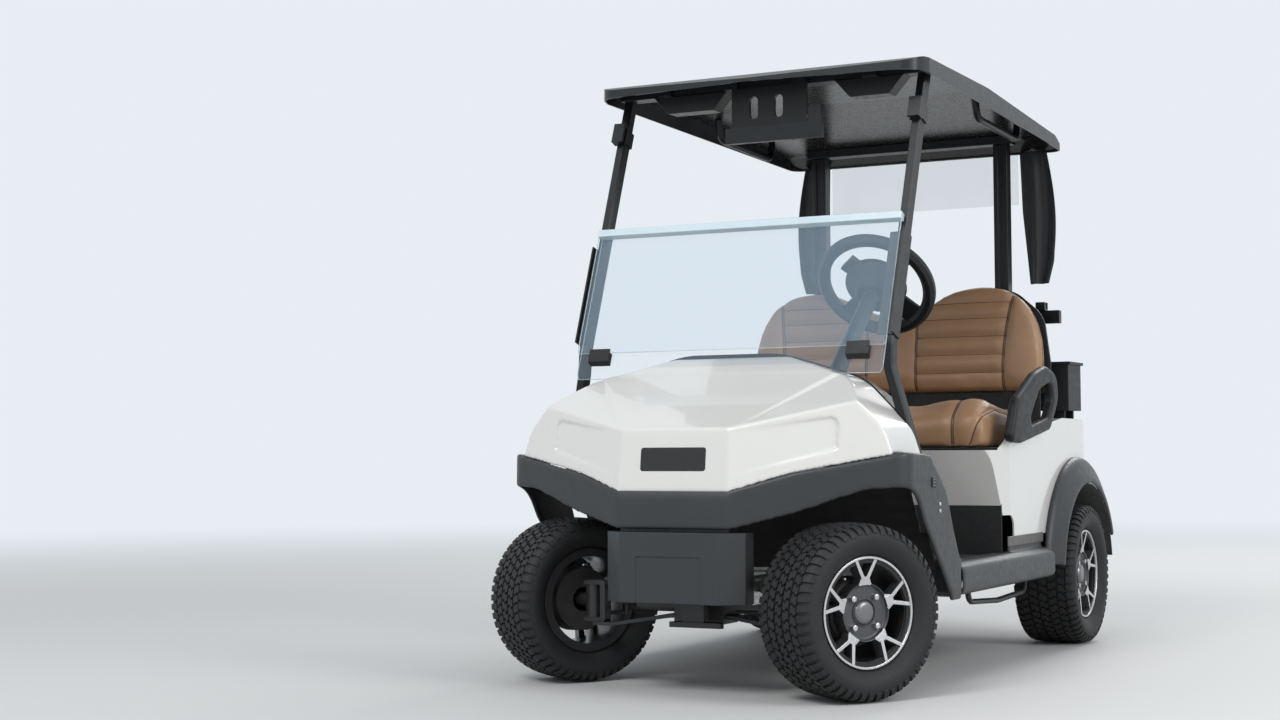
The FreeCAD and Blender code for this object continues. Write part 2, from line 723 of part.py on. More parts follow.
def pane_clips():
    """Rubber blocks low on the lower pane that catch the folded upper pane."""
    near = lower_pane_offset + pane_thickness / 2 + seat_gap
    low = cowl_top_z - 31
    shelf = cowl_top_z + 2.5
    far = upper_pane_offset + pane_thickness / 2 + 6
    outline = [pane_point(near, low), pane_point(near, shelf), pane_point(far - 4, shelf),
               pane_point(far - 4, shelf + 10), pane_point(far, shelf + 10), pane_point(far, low + 8)]
    return side_prism(outline, strut_x - 108, strut_x - 42)


def cowl_trim():
    """Black trim along the trailing edge of the cowl, and the windshield's clips."""
    side = half_width - 195
    outer = mirror_points([(150, cowl_top_z + 4, 300), (side, cowl_top_z - 70, 160),
                           (side + 136, cowl_top_z - 210, 120), (side + 143, cowl_top_z - 272)])
    inner = mirror_points([(140, cowl_top_z - 20, 300), (side - 17, cowl_top_z - 92, 150),
                           (side + 110, cowl_top_z - 220, 110), (side + 117, cowl_top_z - 272)])
    band = front_prism(outer, cowl_rear_y, cowl_rear_y + trim_depth)
    band = band.cut(front_prism(inner, cowl_rear_y - 1, cowl_rear_y + trim_depth + 1))
    return Part.makeCompound([band.cut(strut_room()), pair(pane_clips())])


def dash_form(inset):
    """Closed form of the dash, under the arch of the trim."""
    back = dash_front_y + inset
    rear = back + 132
    top = cowl_top_z - 22 - inset
    low = cowl_top_z - (312 if inset == 0 else 322)
    rear -= inset
    outline = [(back, low), (back, top, 20), (rear, top - 24, 40), (rear + 40, top - 110, 40),
               (rear + 25, top - 200, 30), (rear - 40, low)]
    side = half_width - 157 - inset
    arch = mirror_points([(140, cowl_top_z - 20 - inset, 300), (side - 55, cowl_top_z - 92 - inset, 150),
                          (side, cowl_top_z - 162, 60), (side, low - 1)])
    form = side_prism(outline, -half_width, half_width)
    return form.common(front_prism(arch, back - 1, rear + 120))


def dashboard():
    """Dash moulding with an open pocket ahead of the passenger."""
    face = cowl_rear_y + 117
    rear = face + 140
    low = cowl_top_z - 207
    sides = (driver_x - 598, driver_x - 158)
    pocket = block(sides, (face, rear), (low, low + 85))
    tray = block((sides[0] - wall, sides[1] + wall), (face - wall, rear), (low - wall, low + 85 + wall))
    shape = fused([dash_form(0).cut(dash_form(wall)), tray.common(dash_form(0))]).cut(pocket)
    return shape.cut(rod(dash_seat(), column_top, boot_radius + seat_gap))


def dash_seat():
    """Where the column's axis meets the back wall of the dash."""
    along = column_top - column_foot
    share = (dash_front_y + wall + seat_gap - column_foot.y) / along.y
    return column_foot + along * share


# Steering

def steering_column():
    """Column tube with its flange on the dash."""
    along = (column_top - column_foot).normalize()
    end = column_top - along * (steering_hub_depth + seat_gap)
    tube = rod(column_foot, end, 24)
    boot = Part.makeCone(boot_radius, 30, 60, dash_seat() + along * 50, along)
    seat = dash_front_y + wall + seat_gap
    ahead = block((0, half_width), (seat - 170, seat), (cowl_top_z - 312, cowl_top_z + 288))
    return fused([tube, boot]).cut(ahead)


def wheel_ring():
    """Rim of the steering wheel, an eight-sided bar turned about Z."""
    bar = steering_rim_radius / math.cos(math.pi / 8)
    corners = []
    for index in range(8):
        angle = math.radians(22.5 + 45 * index)
        corners.append(Vector(steering_wheel_radius + bar * math.cos(angle), 0, bar * math.sin(angle)))
    face = Part.Face(Part.makePolygon(corners + corners[:1]))
    return face.revolve(Vector(0, 0, 0), Vector(0, 0, 1), 360)


def steering_wheel():
    """Rim, spokes, hub and clip, drawn about Z with the top towards -Y, then laid on the column."""
    hub_low = Vector(0, 0, -steering_hub_depth)
    cone = Part.makeCone(42, steering_hub_radius, steering_hub_depth - 8, hub_low)
    pieces = [wheel_ring(), cone, rod(Vector(0, 0, -9), Vector(0, 0, 6), steering_hub_radius)]
    for degrees, half in ((0, 24), (180, 24), (90, 34)):
        spoke = block((40, steering_wheel_radius - 4), (-half, half), (-8, 2))
        spoke.rotate(Vector(0, 0, 0), Vector(0, 0, 1), degrees)
        pieces.append(spoke)
    clip = block((-28, 28), (-steering_hub_radius - 20, 10 - steering_hub_radius), (-4, 14))
    shape = fused(pieces + [clip])
    tilt = math.degrees(math.atan2(column_run, column_rise))
    shape.rotate(Vector(0, 0, 0), Vector(0, 0, 1), rest_steer * steering_ratio)
    shape.rotate(Vector(0, 0, 0), Vector(1, 0, 0), -tilt)
    shape.translate(column_top)
    return shape


def pedals():
    """Brake and go pedals on arms from the toe board."""
    y = front_axle_y + 400
    z = floor_top
    pieces = []
    for x, width in ((driver_x - 88, 90), (driver_x + 42, 66)):
        pad = side_prism(moved([(4, 22), (12, 27), (-32, 112), (-40, 107)], y, z),
                         x - width / 2, x + width / 2)
        arm = side_prism(moved([(0, 34), (8, 34), (4, 0), (-14, 0)], y, z), x - 10, x + 10)
        pieces.append(fused([pad, arm]))
    return Part.makeCompound(pieces)


# Rear body and seat

def rear_plan(inset):
    """Plan of the rear body, widest at the seat and rounded in towards the tail."""
    side = rear_half_width - inset
    return mirror_points([
        (side - 26, seat_front_y - 20 + inset, 30), (side, seat_front_y + 92, 60), (side, tail_y - 362, 260),
        (side - 126, tail_y - 40 - inset, 120), (220, tail_y - inset, 200),
    ])


def rear_side(inset):
    """Side view of the rear body."""
    low = 0 if inset == 0 else -20
    return [
        (seat_front_y + 72 + inset, body_low_z + low), (seat_front_y - 20 + inset, deck_z - inset),
        (seat_front_y + 12, deck_z - inset), (seat_front_y + 116, deck_z + 40 - inset, 60),
        (seat_rear_y + 101, deck_z + 102 - inset, 200), (tail_y - 382, deck_z + 100 - inset, 120),
        (tail_y - 142 - inset, deck_z + 58 - inset, 120), (tail_y - inset, deck_z - 62, 120),
        (tail_y - inset, body_low_z + 42, 60), (tail_y - 50 - inset, body_low_z - 38 + low),
        (tail_y - 222, body_low_z - 38 + low), (tail_y - 222, body_low_z + low),
    ]


def rear_form(inset):
    """Closed form of the rear body with the recess for the seat."""
    form = plan_prism(rear_plan(inset), body_low_z - 78, deck_z + 158)
    form = form.common(side_prism(rear_side(inset), -half_width, half_width))
    side = seat_half_width + 8 + inset
    recess = block((-side, side), (seat_front_y - 128, seat_rear_y + 80 + inset),
                   (deck_z - inset, deck_z + 258))
    return form.cut(recess)


def toe_notch():
    """The dark arched notch in the lower front corner of each side."""
    near = seat_front_y - 20
    outline = [(near, body_low_z - 90), (near, body_low_z + 68), (seat_front_y + 126, body_low_z + 68, 40),
               (seat_front_y + 126, body_low_z - 90)]
    return pair(side_prism(outline, rear_half_width - 34, rear_half_width + 1))


def rear_body():
    """Seat base and tail as one hollow moulding, open under the seat and over the bag well."""
    shell = rear_form(0).cut(rear_form(wall))
    side = half_width + 100
    arch = rod(Vector(-side, rear_axle_y, tyre_radius), Vector(side, rear_axle_y, tyre_radius), flare_radius)
    hatch = block((-260, 260), (seat_front_y + 77, seat_rear_y - 10), (deck_z - 42, deck_z + 1))
    well = plan_prism(well_plan(0), deck_z - 42, deck_z + 258)
    return shell.cut(well).cut(arch).cut(hatch).cut(toe_notch())


def well_plan(inset):
    side = rear_half_width - 116 - inset
    back = tail_y - 90 - inset
    turn = tail_y - 242
    return [(-side, well_front_y + inset, 30), (side, well_front_y + inset, 30), (side, turn, 60),
            (side - 190, back, 60), (190 - side, back, 60), (-side, turn, 60)]


def bag_well():
    """The black tray behind the seat, with the raised floor that two golf bags stand on."""
    outer = plan_prism(well_plan(seat_gap), bag_floor_z, deck_z + 258)
    tray = outer.cut(plan_prism(well_plan(wall), bag_floor_z + wall, deck_z + 259))
    under = block((-half_width, half_width), (seat_front_y, tail_y), (body_low_z - 78, deck_z - 42))
    tray = tray.common(side_prism(rear_side(0), -half_width, half_width).fuse(under))
    rail_top = floor_z + rail_kick
    legs = [block((side * rail_x - 20, side * rail_x + 20), (y - 30, y + 30), (rail_top, bag_floor_z))
            for side in (1, -1) for y in (well_front_y + 100, frame_rear_y - 80)]
    stand = block((-stand_half_width, stand_half_width), (well_front_y + 150, tail_y - 190),
                  (bag_floor_z, stand_z))
    return fused([tray, stand] + legs)


def rear_flares():
    """Arch mouldings over the rear wheels."""
    section = [(half_width + 6, 0), (half_width + 8, 12), (half_width - 18, flare_depth - 12),
               (half_width - 28, flare_depth), (rear_half_width, flare_depth + 3),
               (rear_half_width, flare_depth - 3), (half_width - 30, flare_depth - 6), (half_width + 1, 12),
               (half_width, 0)]
    base = tyre_radius + flare_radius
    corners = [Vector(x, rear_axle_y, base + depth) for x, depth in section]
    face = Part.Face(Part.makePolygon(corners + corners[:1]))
    centre = Vector(0, rear_axle_y, tyre_radius)
    face.rotate(centre, Vector(1, 0, 0), -68)
    return pair(face.revolve(centre, Vector(1, 0, 0), 150))


def seat_cushion():
    front = seat_front_y
    outline = [(front, seat_z + seat_gap, 10), (front - 6, seat_z + 95, 50), (front + 90, seat_z + 140, 90),
               (seat_rear_y - 60, seat_z + 128, 30), (seat_rear_y, seat_z + 110, 20),
               (seat_rear_y, seat_z + seat_gap, 10)]
    return side_prism(outline, -seat_half_width, seat_half_width)


def seat_pan():
    """Black board under the cushion, on the deck of the rear body."""
    side = seat_half_width - 6
    return block((-side, side), (seat_front_y + 6, seat_rear_y - 4), (deck_z, seat_z))


def back_outline(inset):
    """Front view of the bench's back: two crowns with a dip between them."""
    low = back_low_z
    side = back_half_width
    return mirror_points([
        (0, low + 313 - inset), (90, low + 319 - inset, 150), (side - 291, low + 389 - inset, 150),
        (side - 141, low + 381 - inset, 90), (side - 41, low + 295 - inset, 110),
        (side - inset, low + 115, 100), (side - 6 - inset, low + inset, 60),
    ])


def leaned(shape):
    shape.rotate(Vector(0, back_front_y, back_low_z), Vector(1, 0, 0), -math.degrees(math.atan(back_lean)))
    return shape


def seat_back():
    return leaned(front_prism(back_outline(0), back_front_y, back_front_y + back_thickness))


def seat_back_shell():
    """Moulded shell behind the back cushion, on two brackets from each rear strut."""
    near = back_front_y + back_thickness + seat_gap
    shell = leaned(front_prism(back_outline(14), near, near + 12))
    ribs = [leaned(block((x - 5, x + 5), (near + 11, near + 24), (back_low_z + 40, back_low_z + 280)))
            for x in (-190, 0, 190)]
    far = rear_strut_y - rear_strut_half_y
    brackets = [block((x - 25, x + 25), (back_front_y + 60, far), (z, z + 40))
                for x in (rear_strut_x, -rear_strut_x) for z in (back_low_z + 85, back_low_z + 225)]
    ahead = leaned(front_prism(back_outline(-40), back_front_y - 60, near + 6))
    return fused([shell] + ribs + [bracket.cut(ahead) for bracket in brackets])


def hip_restraints():
    """D-shaped side holds between the cushion and the backrest."""
    outer = moved([(24, 18, 20), (134, 14, 12), (432, 56, 30), (524, 150, 60), (512, 230, 60),
                   (402, 255, 70), (287, 230, 60), (90, 143, 60)], seat_front_y, seat_z)
    hole = moved([(182, 56, 20), (412, 92, 20), (464, 150, 30), (447, 208, 30), (322, 180, 60)],
                 seat_front_y, seat_z)
    near = rear_half_width
    far = rear_half_width + restraint_thickness
    return pair(side_prism(outer, near, far).cut(side_prism(hole, near - 1, far + 1)))


# Canopy

def strut_path():
    """Middle line of the left front strut, from the fender post up to the roof."""
    return [(Vector(half_width - 52, cowl_rear_y + 35, bumper_top + 53), 0),
            (Vector(strut_x, cowl_rear_y - 5, cowl_top_z - 40), 70),
            (Vector(strut_x, cowl_rear_y + 1, cowl_top_z + 23), 70),
            (Vector(strut_x, front_channel_y + 19, roof_lip_front_z + 17), 0)]


def strut_bar(width, depth):
    """A bevelled bar swept along the strut's line, cut level at its foot and under the roof channel."""
    path = strut_path()
    foot = path[0][0]
    along = (path[1][0] - foot).normalize()
    start = foot - along * 40
    across = Vector(1, 0, 0) - along * along.x
    across.normalize()
    forward = along.cross(across)
    bevel = 0.7
    corners = [start + across * (a * width / 2) + forward * (b * depth / 2)
               for a, b in ((-bevel, -1), (bevel, -1), (1, -bevel), (1, bevel), (bevel, 1), (-bevel, 1),
                            (-1, bevel), (-1, -bevel))]
    path = [(start, 0)] + path[1:]
    section = Part.makePolygon(corners + corners[:1])
    bar = wire(path, closed=False).makePipeShell([section], True, False)
    room = block((strut_x - 90, half_width + 60), (cowl_rear_y - 150, front_channel_y + 180),
                 (foot.z, channel_low(front_channel_y)))
    return bar.common(room)


def pane_point(offset, z):
    """A point of the windshield's side view: offset is the distance in front of the strut's middle line."""
    low, high = (point for point, radius in strut_path()[2:])
    run = (high.y - low.y) / (high.z - low.z)
    forward = Vector(0, -1, run).normalize()
    y = low.y + (z - low.z) * run
    return (y + forward.y * offset, z + forward.z * offset)


def strut_fitting(near, far, z_span, x_span):
    """A piece on the strut, between two distances ahead of its middle line."""
    low, high = z_span
    outline = [pane_point(near, low), pane_point(near, high), pane_point(far, high), pane_point(far, low)]
    return side_prism(outline, *x_span)


def front_struts():
    """Struts with the strips that the windshield leans on and the catches for its raised half."""
    face = strut_depth / 2
    edge = strut_x + strut_width / 2
    guide = (cowl_top_z + 38, hinge_low - 28)
    catch = (roof_lip_front_z - 142, roof_lip_front_z - 84)
    pieces = [
        strut_bar(strut_width, strut_depth),
        strut_fitting(face - 1, face + guide_thickness, guide, (strut_x - 32, edge)),
        strut_fitting(-face + 6, face + guide_thickness + 18, guide, (edge - 1, edge + 4)),
        strut_fitting(face - 1, face + 26, catch, (strut_x - 18, strut_x + 18)),
        strut_fitting(-face, face, (catch[0] + 6, catch[1] - 6), (strut_x - 18, strut_x + 18)),
    ]
    groove = strut_fitting(face + 6, face + 16, (catch[0] - 20, catch[1] + 20),
                           (strut_x - 30, strut_x - 5))
    return pair(fused(pieces).cut(groove))


def rear_struts():
    """Ribbed posts behind the seat that carry the roof."""
    half_x = rear_strut_half_y + 2
    half_y = rear_strut_half_y
    groove = 9.0
    floor = half_y - 5
    outline = [(half_x, -half_y), (half_x, half_y), (groove, half_y), (groove, floor), (-groove, floor),
               (-groove, half_y), (-half_x, half_y), (-half_x, -half_y), (-groove, -half_y),
               (-groove, -floor), (groove, -floor), (groove, -half_y)]
    points = [(rear_strut_x + x, rear_strut_y + y) for x, y in outline]
    return pair(plan_prism(points, bag_floor_z + wall, channel_low(rear_strut_y)))


def roof_line(y):
    """Height of the roof's lip along the cart."""
    share = (y - roof_front_y) / (roof_rear_y - roof_front_y)
    return roof_lip_front_z + (roof_lip_rear_z - roof_lip_front_z) * share


def channel_low(y):
    """Underside of the roof channel at y."""
    return roof_line(y) + roof_lip - channel_depth


def roof_solid(inset):
    """Closed form of the roof: bowed plan, sloping side view and crowned front view."""
    side = roof_half_width - inset
    front = roof_front_y + inset
    rear = roof_rear_y - inset
    plan = mirror_points([(0, front), (side - 24, front + 45, 60), (side, roof_front_y + 120),
                          (side - 17, rear, 40)])
    top = roof_lip - inset
    low = -2 if inset == 0 else -12
    middle = roof_front_y + 660
    profile = [
        (front, roof_line(roof_front_y) + low), (front, roof_line(roof_front_y) + 8 - inset, 6),
        (roof_front_y + 90, roof_line(roof_front_y + 90) + top, 90),
        (middle, roof_line(middle) + top + roof_crown, 900),
        (roof_rear_y - 90, roof_line(roof_rear_y - 90) + top, 90),
        (rear, roof_line(roof_rear_y) + 8 - inset, 6), (rear, roof_line(roof_rear_y) + low),
    ]
    form = plan_prism(plan, roof_lip_rear_z - 60, roof_lip_front_z + 92)
    return form.common(side_prism(profile, -half_width, half_width))


def roof():
    return roof_solid(0).cut(roof_solid(roof_wall))


def light_pod(x_from, x_to):
    """A rounded pod under the front channel."""
    high = channel_low(front_channel_y)
    low = high - 52
    slope = 46
    outline = [(x_from, high), (x_from + slope, low, 12), (x_to - slope, low, 12), (x_to, high)]
    return front_prism(outline, front_channel_y - 34, front_channel_y + 26)


def grab_handle():
    """A bar under the roof's side, above the door opening."""
    x = roof_half_width - 76
    front = roof_front_y + 740
    rear = front + 440
    drop = 52
    high = roof_line(front) + roof_lip + roof_crown
    corners = [(Vector(x, front, high), 0), (Vector(x, front + 24, roof_line(front) + roof_lip - drop), 34),
               (Vector(x, rear - 24, roof_line(rear) + roof_lip - drop), 34), (Vector(x, rear, high), 0)]
    return bent_bar(corners, 11)


def roof_frame():
    """Channels across the underside of the roof, with two pods and the grab handles."""
    pieces = []
    for y, half in ((front_channel_y, strut_x + 16), (rear_strut_y, rear_strut_x + 40)):
        low = channel_low(y)
        pieces.append(block((-half, half), (y - 30, y + 30), (low, low + 2 * channel_depth)))
    tabs = [block((x - 22, x + 22), (front_channel_y - 46, front_channel_y - 30),
                  (channel_low(front_channel_y), channel_low(front_channel_y) + 2 * channel_depth))
            for x in (-330, -110, 110, 330)]
    pods = [light_pod(-370, -126), light_pod(218, 430)]
    frame = fused([pieces[0]] + tabs + pods)
    handle = grab_handle()
    solids = Part.makeCompound([frame, pieces[1], handle, mirrored(handle)])
    return solids.common(roof_solid(roof_wall).fuse(under_roof()))


def under_roof():
    """The space below the roof's lip."""
    low = roof_lip_rear_z - 200
    outline = [(roof_front_y, low), (roof_front_y, roof_line(roof_front_y) - 10),
               (roof_rear_y, roof_line(roof_rear_y) - 10), (roof_rear_y, low)]
    return side_prism(outline, -half_width, half_width)


def overhead_display():
    """Slotted hanger under the front channel with a cranked bar across it."""
    top = channel_low(front_channel_y)
    low = top - 115
    near = front_channel_y - 34 - seat_gap
    plate = block((-104, 136), (near - 14, near), (low, top))
    plate = plate.common(front_prism([(-104, low, 24), (136, low, 24), (136, top), (-104, top)],
                                     near - 20, near + 1))
    for x in (-33, 47):
        slot = [(x - 14, low + 22, 13), (x + 14, low + 22, 13), (x + 14, low + 88, 13),
                (x - 14, low + 88, 13)]
        plate = plate.cut(front_prism(slot, near - 20, near + 1))
    bar = front_prism([(-116, low - 50), (190, low - 50), (190, low + 46, 8), (150, low + 46, 8),
                       (150, low - 4), (-116, low - 4)], near - 34, near - 14)
    ledge = block((-110, 140), (near - 15, near), (low - 40, low + 12))
    return fused([plate, bar, ledge])


# Windshield

def pane(offset, z_low, half):
    """A flat pane up to the hinge, with its lower corners rounded."""
    near = offset - pane_thickness / 2
    outline = [pane_point(near, z_low), pane_point(near, hinge_low - seat_gap),
               pane_point(near + pane_thickness, hinge_low - seat_gap),
               pane_point(near + pane_thickness, z_low)]
    low = z_low - 20
    view = [(-half, low, 55), (half, low, 55), (half, hinge_low + 20), (-half, hinge_low + 20)]
    depth = (cowl_rear_y - 200, front_channel_y)
    return side_prism(outline, -half, half).common(front_prism(view, *depth))


def windshield_lower():
    """The fixed half, shaped to stand round the cowl's arch."""
    low = cowl_top_z - 68
    return pane(lower_pane_offset, low, strut_x - 2).cut(cowl_solid(-seat_gap))


def windshield_upper():
    """The top half, folded down in front of the lower pane."""
    return pane(upper_pane_offset, cowl_top_z + 3, strut_x + 3)


def windshield_hinge():
    near = strut_depth / 2 + seat_gap
    return strut_fitting(near, near + 27, (hinge_low, hinge_z + 8), (-strut_x - 3, strut_x + 3))


# Rear fittings

def bag_rack():
    """Bar behind the struts that golf bags lean on, with a strap hook over each side."""
    near = rear_strut_y + rear_strut_half_y
    side = rear_half_width - 41
    low = seat_z + 414
    bar = block((-side, side), (near, near + 28), (low, low + 44))
    hooks = [block((x - 16, x + 16), (near - 12, near + 28), (low + 44, low + 72))
             for x in (side - 62, 62 - side)]
    notches = [block((x - 17, x + 17), (near + 4, near + 16), (low + 50, low + 73))
               for x in (side - 62, 62 - side)]
    rack = fused([bar] + hooks)
    for notch in notches:
        rack = rack.cut(notch)
    return rack


def accessory_box():
    """Open box beside the bag well, with a rim and a partition."""
    near = rear_half_width - 104
    far = rear_half_width + 4
    front = rear_strut_y - 40
    rear = rear_strut_y + 110
    low = deck_z + 128
    high = low + 162
    box = block((near, far), (front, rear), (low, high))
    middle = (front + rear) / 2
    for room in ((front + 4, middle - 2), (middle + 2, rear - 4)):
        box = box.cut(block((near + 4, far - 4), room, (low + 4, high + 1)))
    rim = block((near - 6, far + 8), (front - 6, rear + 6), (high - 10, high))
    rim = rim.cut(block((near + 1, far - 1), (front + 1, rear - 1), (high - 11, high + 1)))
    feet = [block((near + 18, far - 20), (y, y + 12), (low - 40, low)) for y in (front + 20, rear - 30)]
    return fused([box, rim] + feet).cut(rear_form(0))


def bag_cover():
    """Rolled-up rain cover behind the roof: a window across the middle and a flap on each side."""
    y = roof_rear_y - roof_wall - seat_gap
    top = roof_line(roof_rear_y) + 8 - roof_wall - seat_gap
    side = roof_half_width - 67
    flap = front_prism([(352, top), (side, top), (side + 34, top - 264, 60), (side, top - 438, 30),
                        (side - 50, top - 473, 20), (372, top - 164, 60)], y - 14, y)
    window = front_prism([(-348, top - 192), (348, top - 192), (348, top), (-348, top)], y - 6, y)
    lip = roof_solid(0).cut(roof_solid(roof_wall + seat_gap))
    return Part.makeCompound([window.cut(lip), pair(flap.cut(lip))])


# Rear axle

def rear_axle():
    """Axle tube with its gear housing and the snout that the motor is bolted to."""
    centre = Vector(0, rear_axle_y, tyre_radius)
    reach = Vector(rear_wheel_x + spindle_reach, 0, 0)
    tube_end = Vector(rear_wheel_x - 30, 0, 0)
    tube = rod(centre - tube_end, centre + tube_end, 34)
    shaft = rod(centre - reach, centre + reach, spindle_radius)
    housing = rod(centre + Vector(10, 0, 0), centre + Vector(130, 0, 0), 92)
    motor_y = rear_axle_y - motor_ahead
    snout = block((20, 110), (motor_y, rear_axle_y), (tyre_radius - 50, tyre_radius + 70))
    motor = rod(Vector(-200, motor_y, motor_z), Vector(200, motor_y, motor_z), motor_radius)
    return fused([tube, shaft, housing, snout.cut(motor)])


def drive_motor():
    centre = Vector(0, rear_axle_y - motor_ahead, motor_z)
    return rod(centre + Vector(-130, 0, 0), centre + Vector(120, 0, 0), motor_radius)


def rear_suspension():
    """A leaf spring on each side, clamped over the axle and shackled to the rails."""
    x = rail_outer + 50
    z = tyre_radius + 34
    outline = moved([(-300, 40), (-60, 0, 100), (60, 0, 100), (300, 40), (300, 54), (60, 16, 100),
                     (-60, 16, 100), (-300, 54)], rear_axle_y, z)
    leaf = side_prism(outline, x - 25, x + 25)
    front = block((rail_outer, x + 25), (rear_axle_y - 300, rear_axle_y - 270), (rail_bottom + 10, z + 50))
    rear = block((rail_outer, x + 25), (rear_axle_y + 270, rear_axle_y + 300),
                 (z + 46, rail_bottom + rail_kick + 40))
    clamp = block((x - 28, x + 28), (rear_axle_y - 40, rear_axle_y + 40), (tyre_radius + 30, z + 26))
    return pair(fused([leaf, front, rear, clamp]).cut(rear_axle()))


os.makedirs("parts", exist_ok=True)
wheels()
save("knuckle_left", knuckle(1))
save("knuckle_right", knuckle(-1))
for maker in (
    tie_rod, front_suspension, front_leaf_spring, chassis_frame, floor_pan, battery_pack, front_cowl,
    front_fenders, rockers, front_fascia, cowl_trim, dashboard, steering_column, steering_wheel, pedals,
    rear_body, bag_well, rear_flares, seat_cushion, seat_pan, seat_back, seat_back_shell, hip_restraints,
    front_struts, rear_struts, roof, roof_frame, overhead_display, windshield_lower, windshield_upper,
    windshield_hinge, bag_rack, accessory_box, bag_cover, rear_axle, drive_motor, rear_suspension,
):
    save(maker.__name__, maker())
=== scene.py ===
"""Golf cart for two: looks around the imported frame, in metres, in the frame's own axes."""

import json
import math

import bpy
from mathutils import Matrix, Vector
from mathutils.bvhtree import BVHTree


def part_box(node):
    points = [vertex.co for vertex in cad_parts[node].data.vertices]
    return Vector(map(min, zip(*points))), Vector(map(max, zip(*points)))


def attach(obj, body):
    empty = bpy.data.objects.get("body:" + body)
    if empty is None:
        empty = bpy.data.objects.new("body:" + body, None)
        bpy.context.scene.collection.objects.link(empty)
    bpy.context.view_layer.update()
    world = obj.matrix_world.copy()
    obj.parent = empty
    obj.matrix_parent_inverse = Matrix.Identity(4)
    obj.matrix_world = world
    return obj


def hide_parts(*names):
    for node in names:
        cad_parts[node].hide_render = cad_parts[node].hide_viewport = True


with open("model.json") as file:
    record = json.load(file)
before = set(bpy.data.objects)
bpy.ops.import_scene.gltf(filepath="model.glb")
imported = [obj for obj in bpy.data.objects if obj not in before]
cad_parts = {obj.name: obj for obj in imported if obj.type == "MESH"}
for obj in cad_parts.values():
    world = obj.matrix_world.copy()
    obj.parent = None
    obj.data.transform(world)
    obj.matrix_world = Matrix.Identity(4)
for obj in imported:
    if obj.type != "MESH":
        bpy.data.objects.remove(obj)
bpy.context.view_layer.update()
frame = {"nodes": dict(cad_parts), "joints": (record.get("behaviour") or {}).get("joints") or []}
nodes = frame["nodes"]
joints = {joint["name"]: joint for joint in frame["joints"]}

# Camera of the photograph
image_width = 1280
sensor_width = 36.0
focal_pixels = 1982.0
camera_place = Vector((2.395, -5.794, 0.655))
camera_yaw = math.radians(28.09)
camera_pitch = math.radians(2.54)
camera_roll = math.radians(-0.36)

tau = 2 * math.pi
sides = ((1, "left"), (-1, "right"))
wheel_ends = ("front_left", "front_right", "rear_left", "rear_right")


# Node helpers

noise_range = (0.3, 0.7)      # where most of a noise texture's values lie
# Sockets of a Mix node that mixes colours
mix_share, mix_first, mix_second, mix_result = 0, 6, 7, 2


def new_material(name):
    """A material with its node tree and its Principled shader."""
    material = bpy.data.materials.new(name)
    material.use_nodes = True
    tree = material.node_tree
    return material, tree, tree.nodes["Principled BSDF"]


def put(tree, kind, **values):
    """Adds a node; values are its properties, or its inputs where a name fits none."""
    node = tree.nodes.new(kind)
    for key, value in values.items():
        if hasattr(node, key):
            setattr(node, key, value)
        else:
            node.inputs[key.replace("_", " ").title()].default_value = value
    return node


def link(output, socket):
    output.id_data.links.new(output, socket)


def set_inputs(node, values):
    for name, value in values.items():
        node.inputs[name].default_value = value


def place_coords(tree):
    return put(tree, "ShaderNodeTexCoord").outputs["Object"]


def noise_value(tree, scale, detail=4.0, roughness=0.55, stretch=(1, 1, 1)):
    mapping = put(tree, "ShaderNodeMapping")
    mapping.inputs["Scale"].default_value = stretch
    link(place_coords(tree), mapping.inputs["Vector"])
    node = put(tree, "ShaderNodeTexNoise", scale=scale, detail=detail, roughness=roughness)
    link(mapping.outputs["Vector"], node.inputs["Vector"])
    return node.outputs["Fac"]


def cell_value(tree, scale):
    node = put(tree, "ShaderNodeTexVoronoi", scale=scale)
    link(place_coords(tree), node.inputs["Vector"])
    return node.outputs["Distance"]


def spread(tree, value, low, high):
    """Maps a noise's usual range onto low to high."""
    node = put(tree, "ShaderNodeMapRange")
    set_inputs(node, {"From Min": noise_range[0], "From Max": noise_range[1], "To Min": low, "To Max": high})
    link(value, node.inputs["Value"])
    return node.outputs["Result"]


def colour_mix(tree, value, low, high):
    node = put(tree, "ShaderNodeMix", data_type="RGBA")
    node.inputs[mix_first].default_value = (*low, 1)
    node.inputs[mix_second].default_value = (*high, 1)
    link(value, node.inputs[mix_share])
    return node.outputs[mix_result]


def bump(tree, height, strength, distance, under=None):
    node = put(tree, "ShaderNodeBump")
    set_inputs(node, {"Strength": strength, "Distance": distance})
    link(height, node.inputs["Height"])
    if under is not None:
        link(under, node.inputs["Normal"])
    return node.outputs["Normal"]


def finish(name, colour, roughness, vary=0.12, patch=6.0, grain=None, metallic=0.0, coat=0.0,
           coat_roughness=0.05, specular=0.5):
    """A finish with slightly uneven colour and gloss; grain is (scale, strength, depth) of its relief."""
    material, tree, shader = new_material(name)
    value = noise_value(tree, patch)
    low = tuple(c * (1 - vary) for c in colour)
    high = tuple(min(1.0, c * (1 + vary)) for c in colour)
    link(colour_mix(tree, value, low, high), shader.inputs["Base Color"])
    fine = noise_value(tree, patch * 9, 6.0)
    link(spread(tree, fine, roughness * 0.85, roughness * 1.15), shader.inputs["Roughness"])
    set_inputs(shader, {"Metallic": metallic, "Coat Weight": coat, "Coat Roughness": coat_roughness,
                        "Specular IOR Level": specular})
    if grain:
        scale, strength, depth = grain
        relief = noise_value(tree, scale, 3.0)
        link(bump(tree, relief, strength, depth), shader.inputs["Normal"])
    return material


# Materials

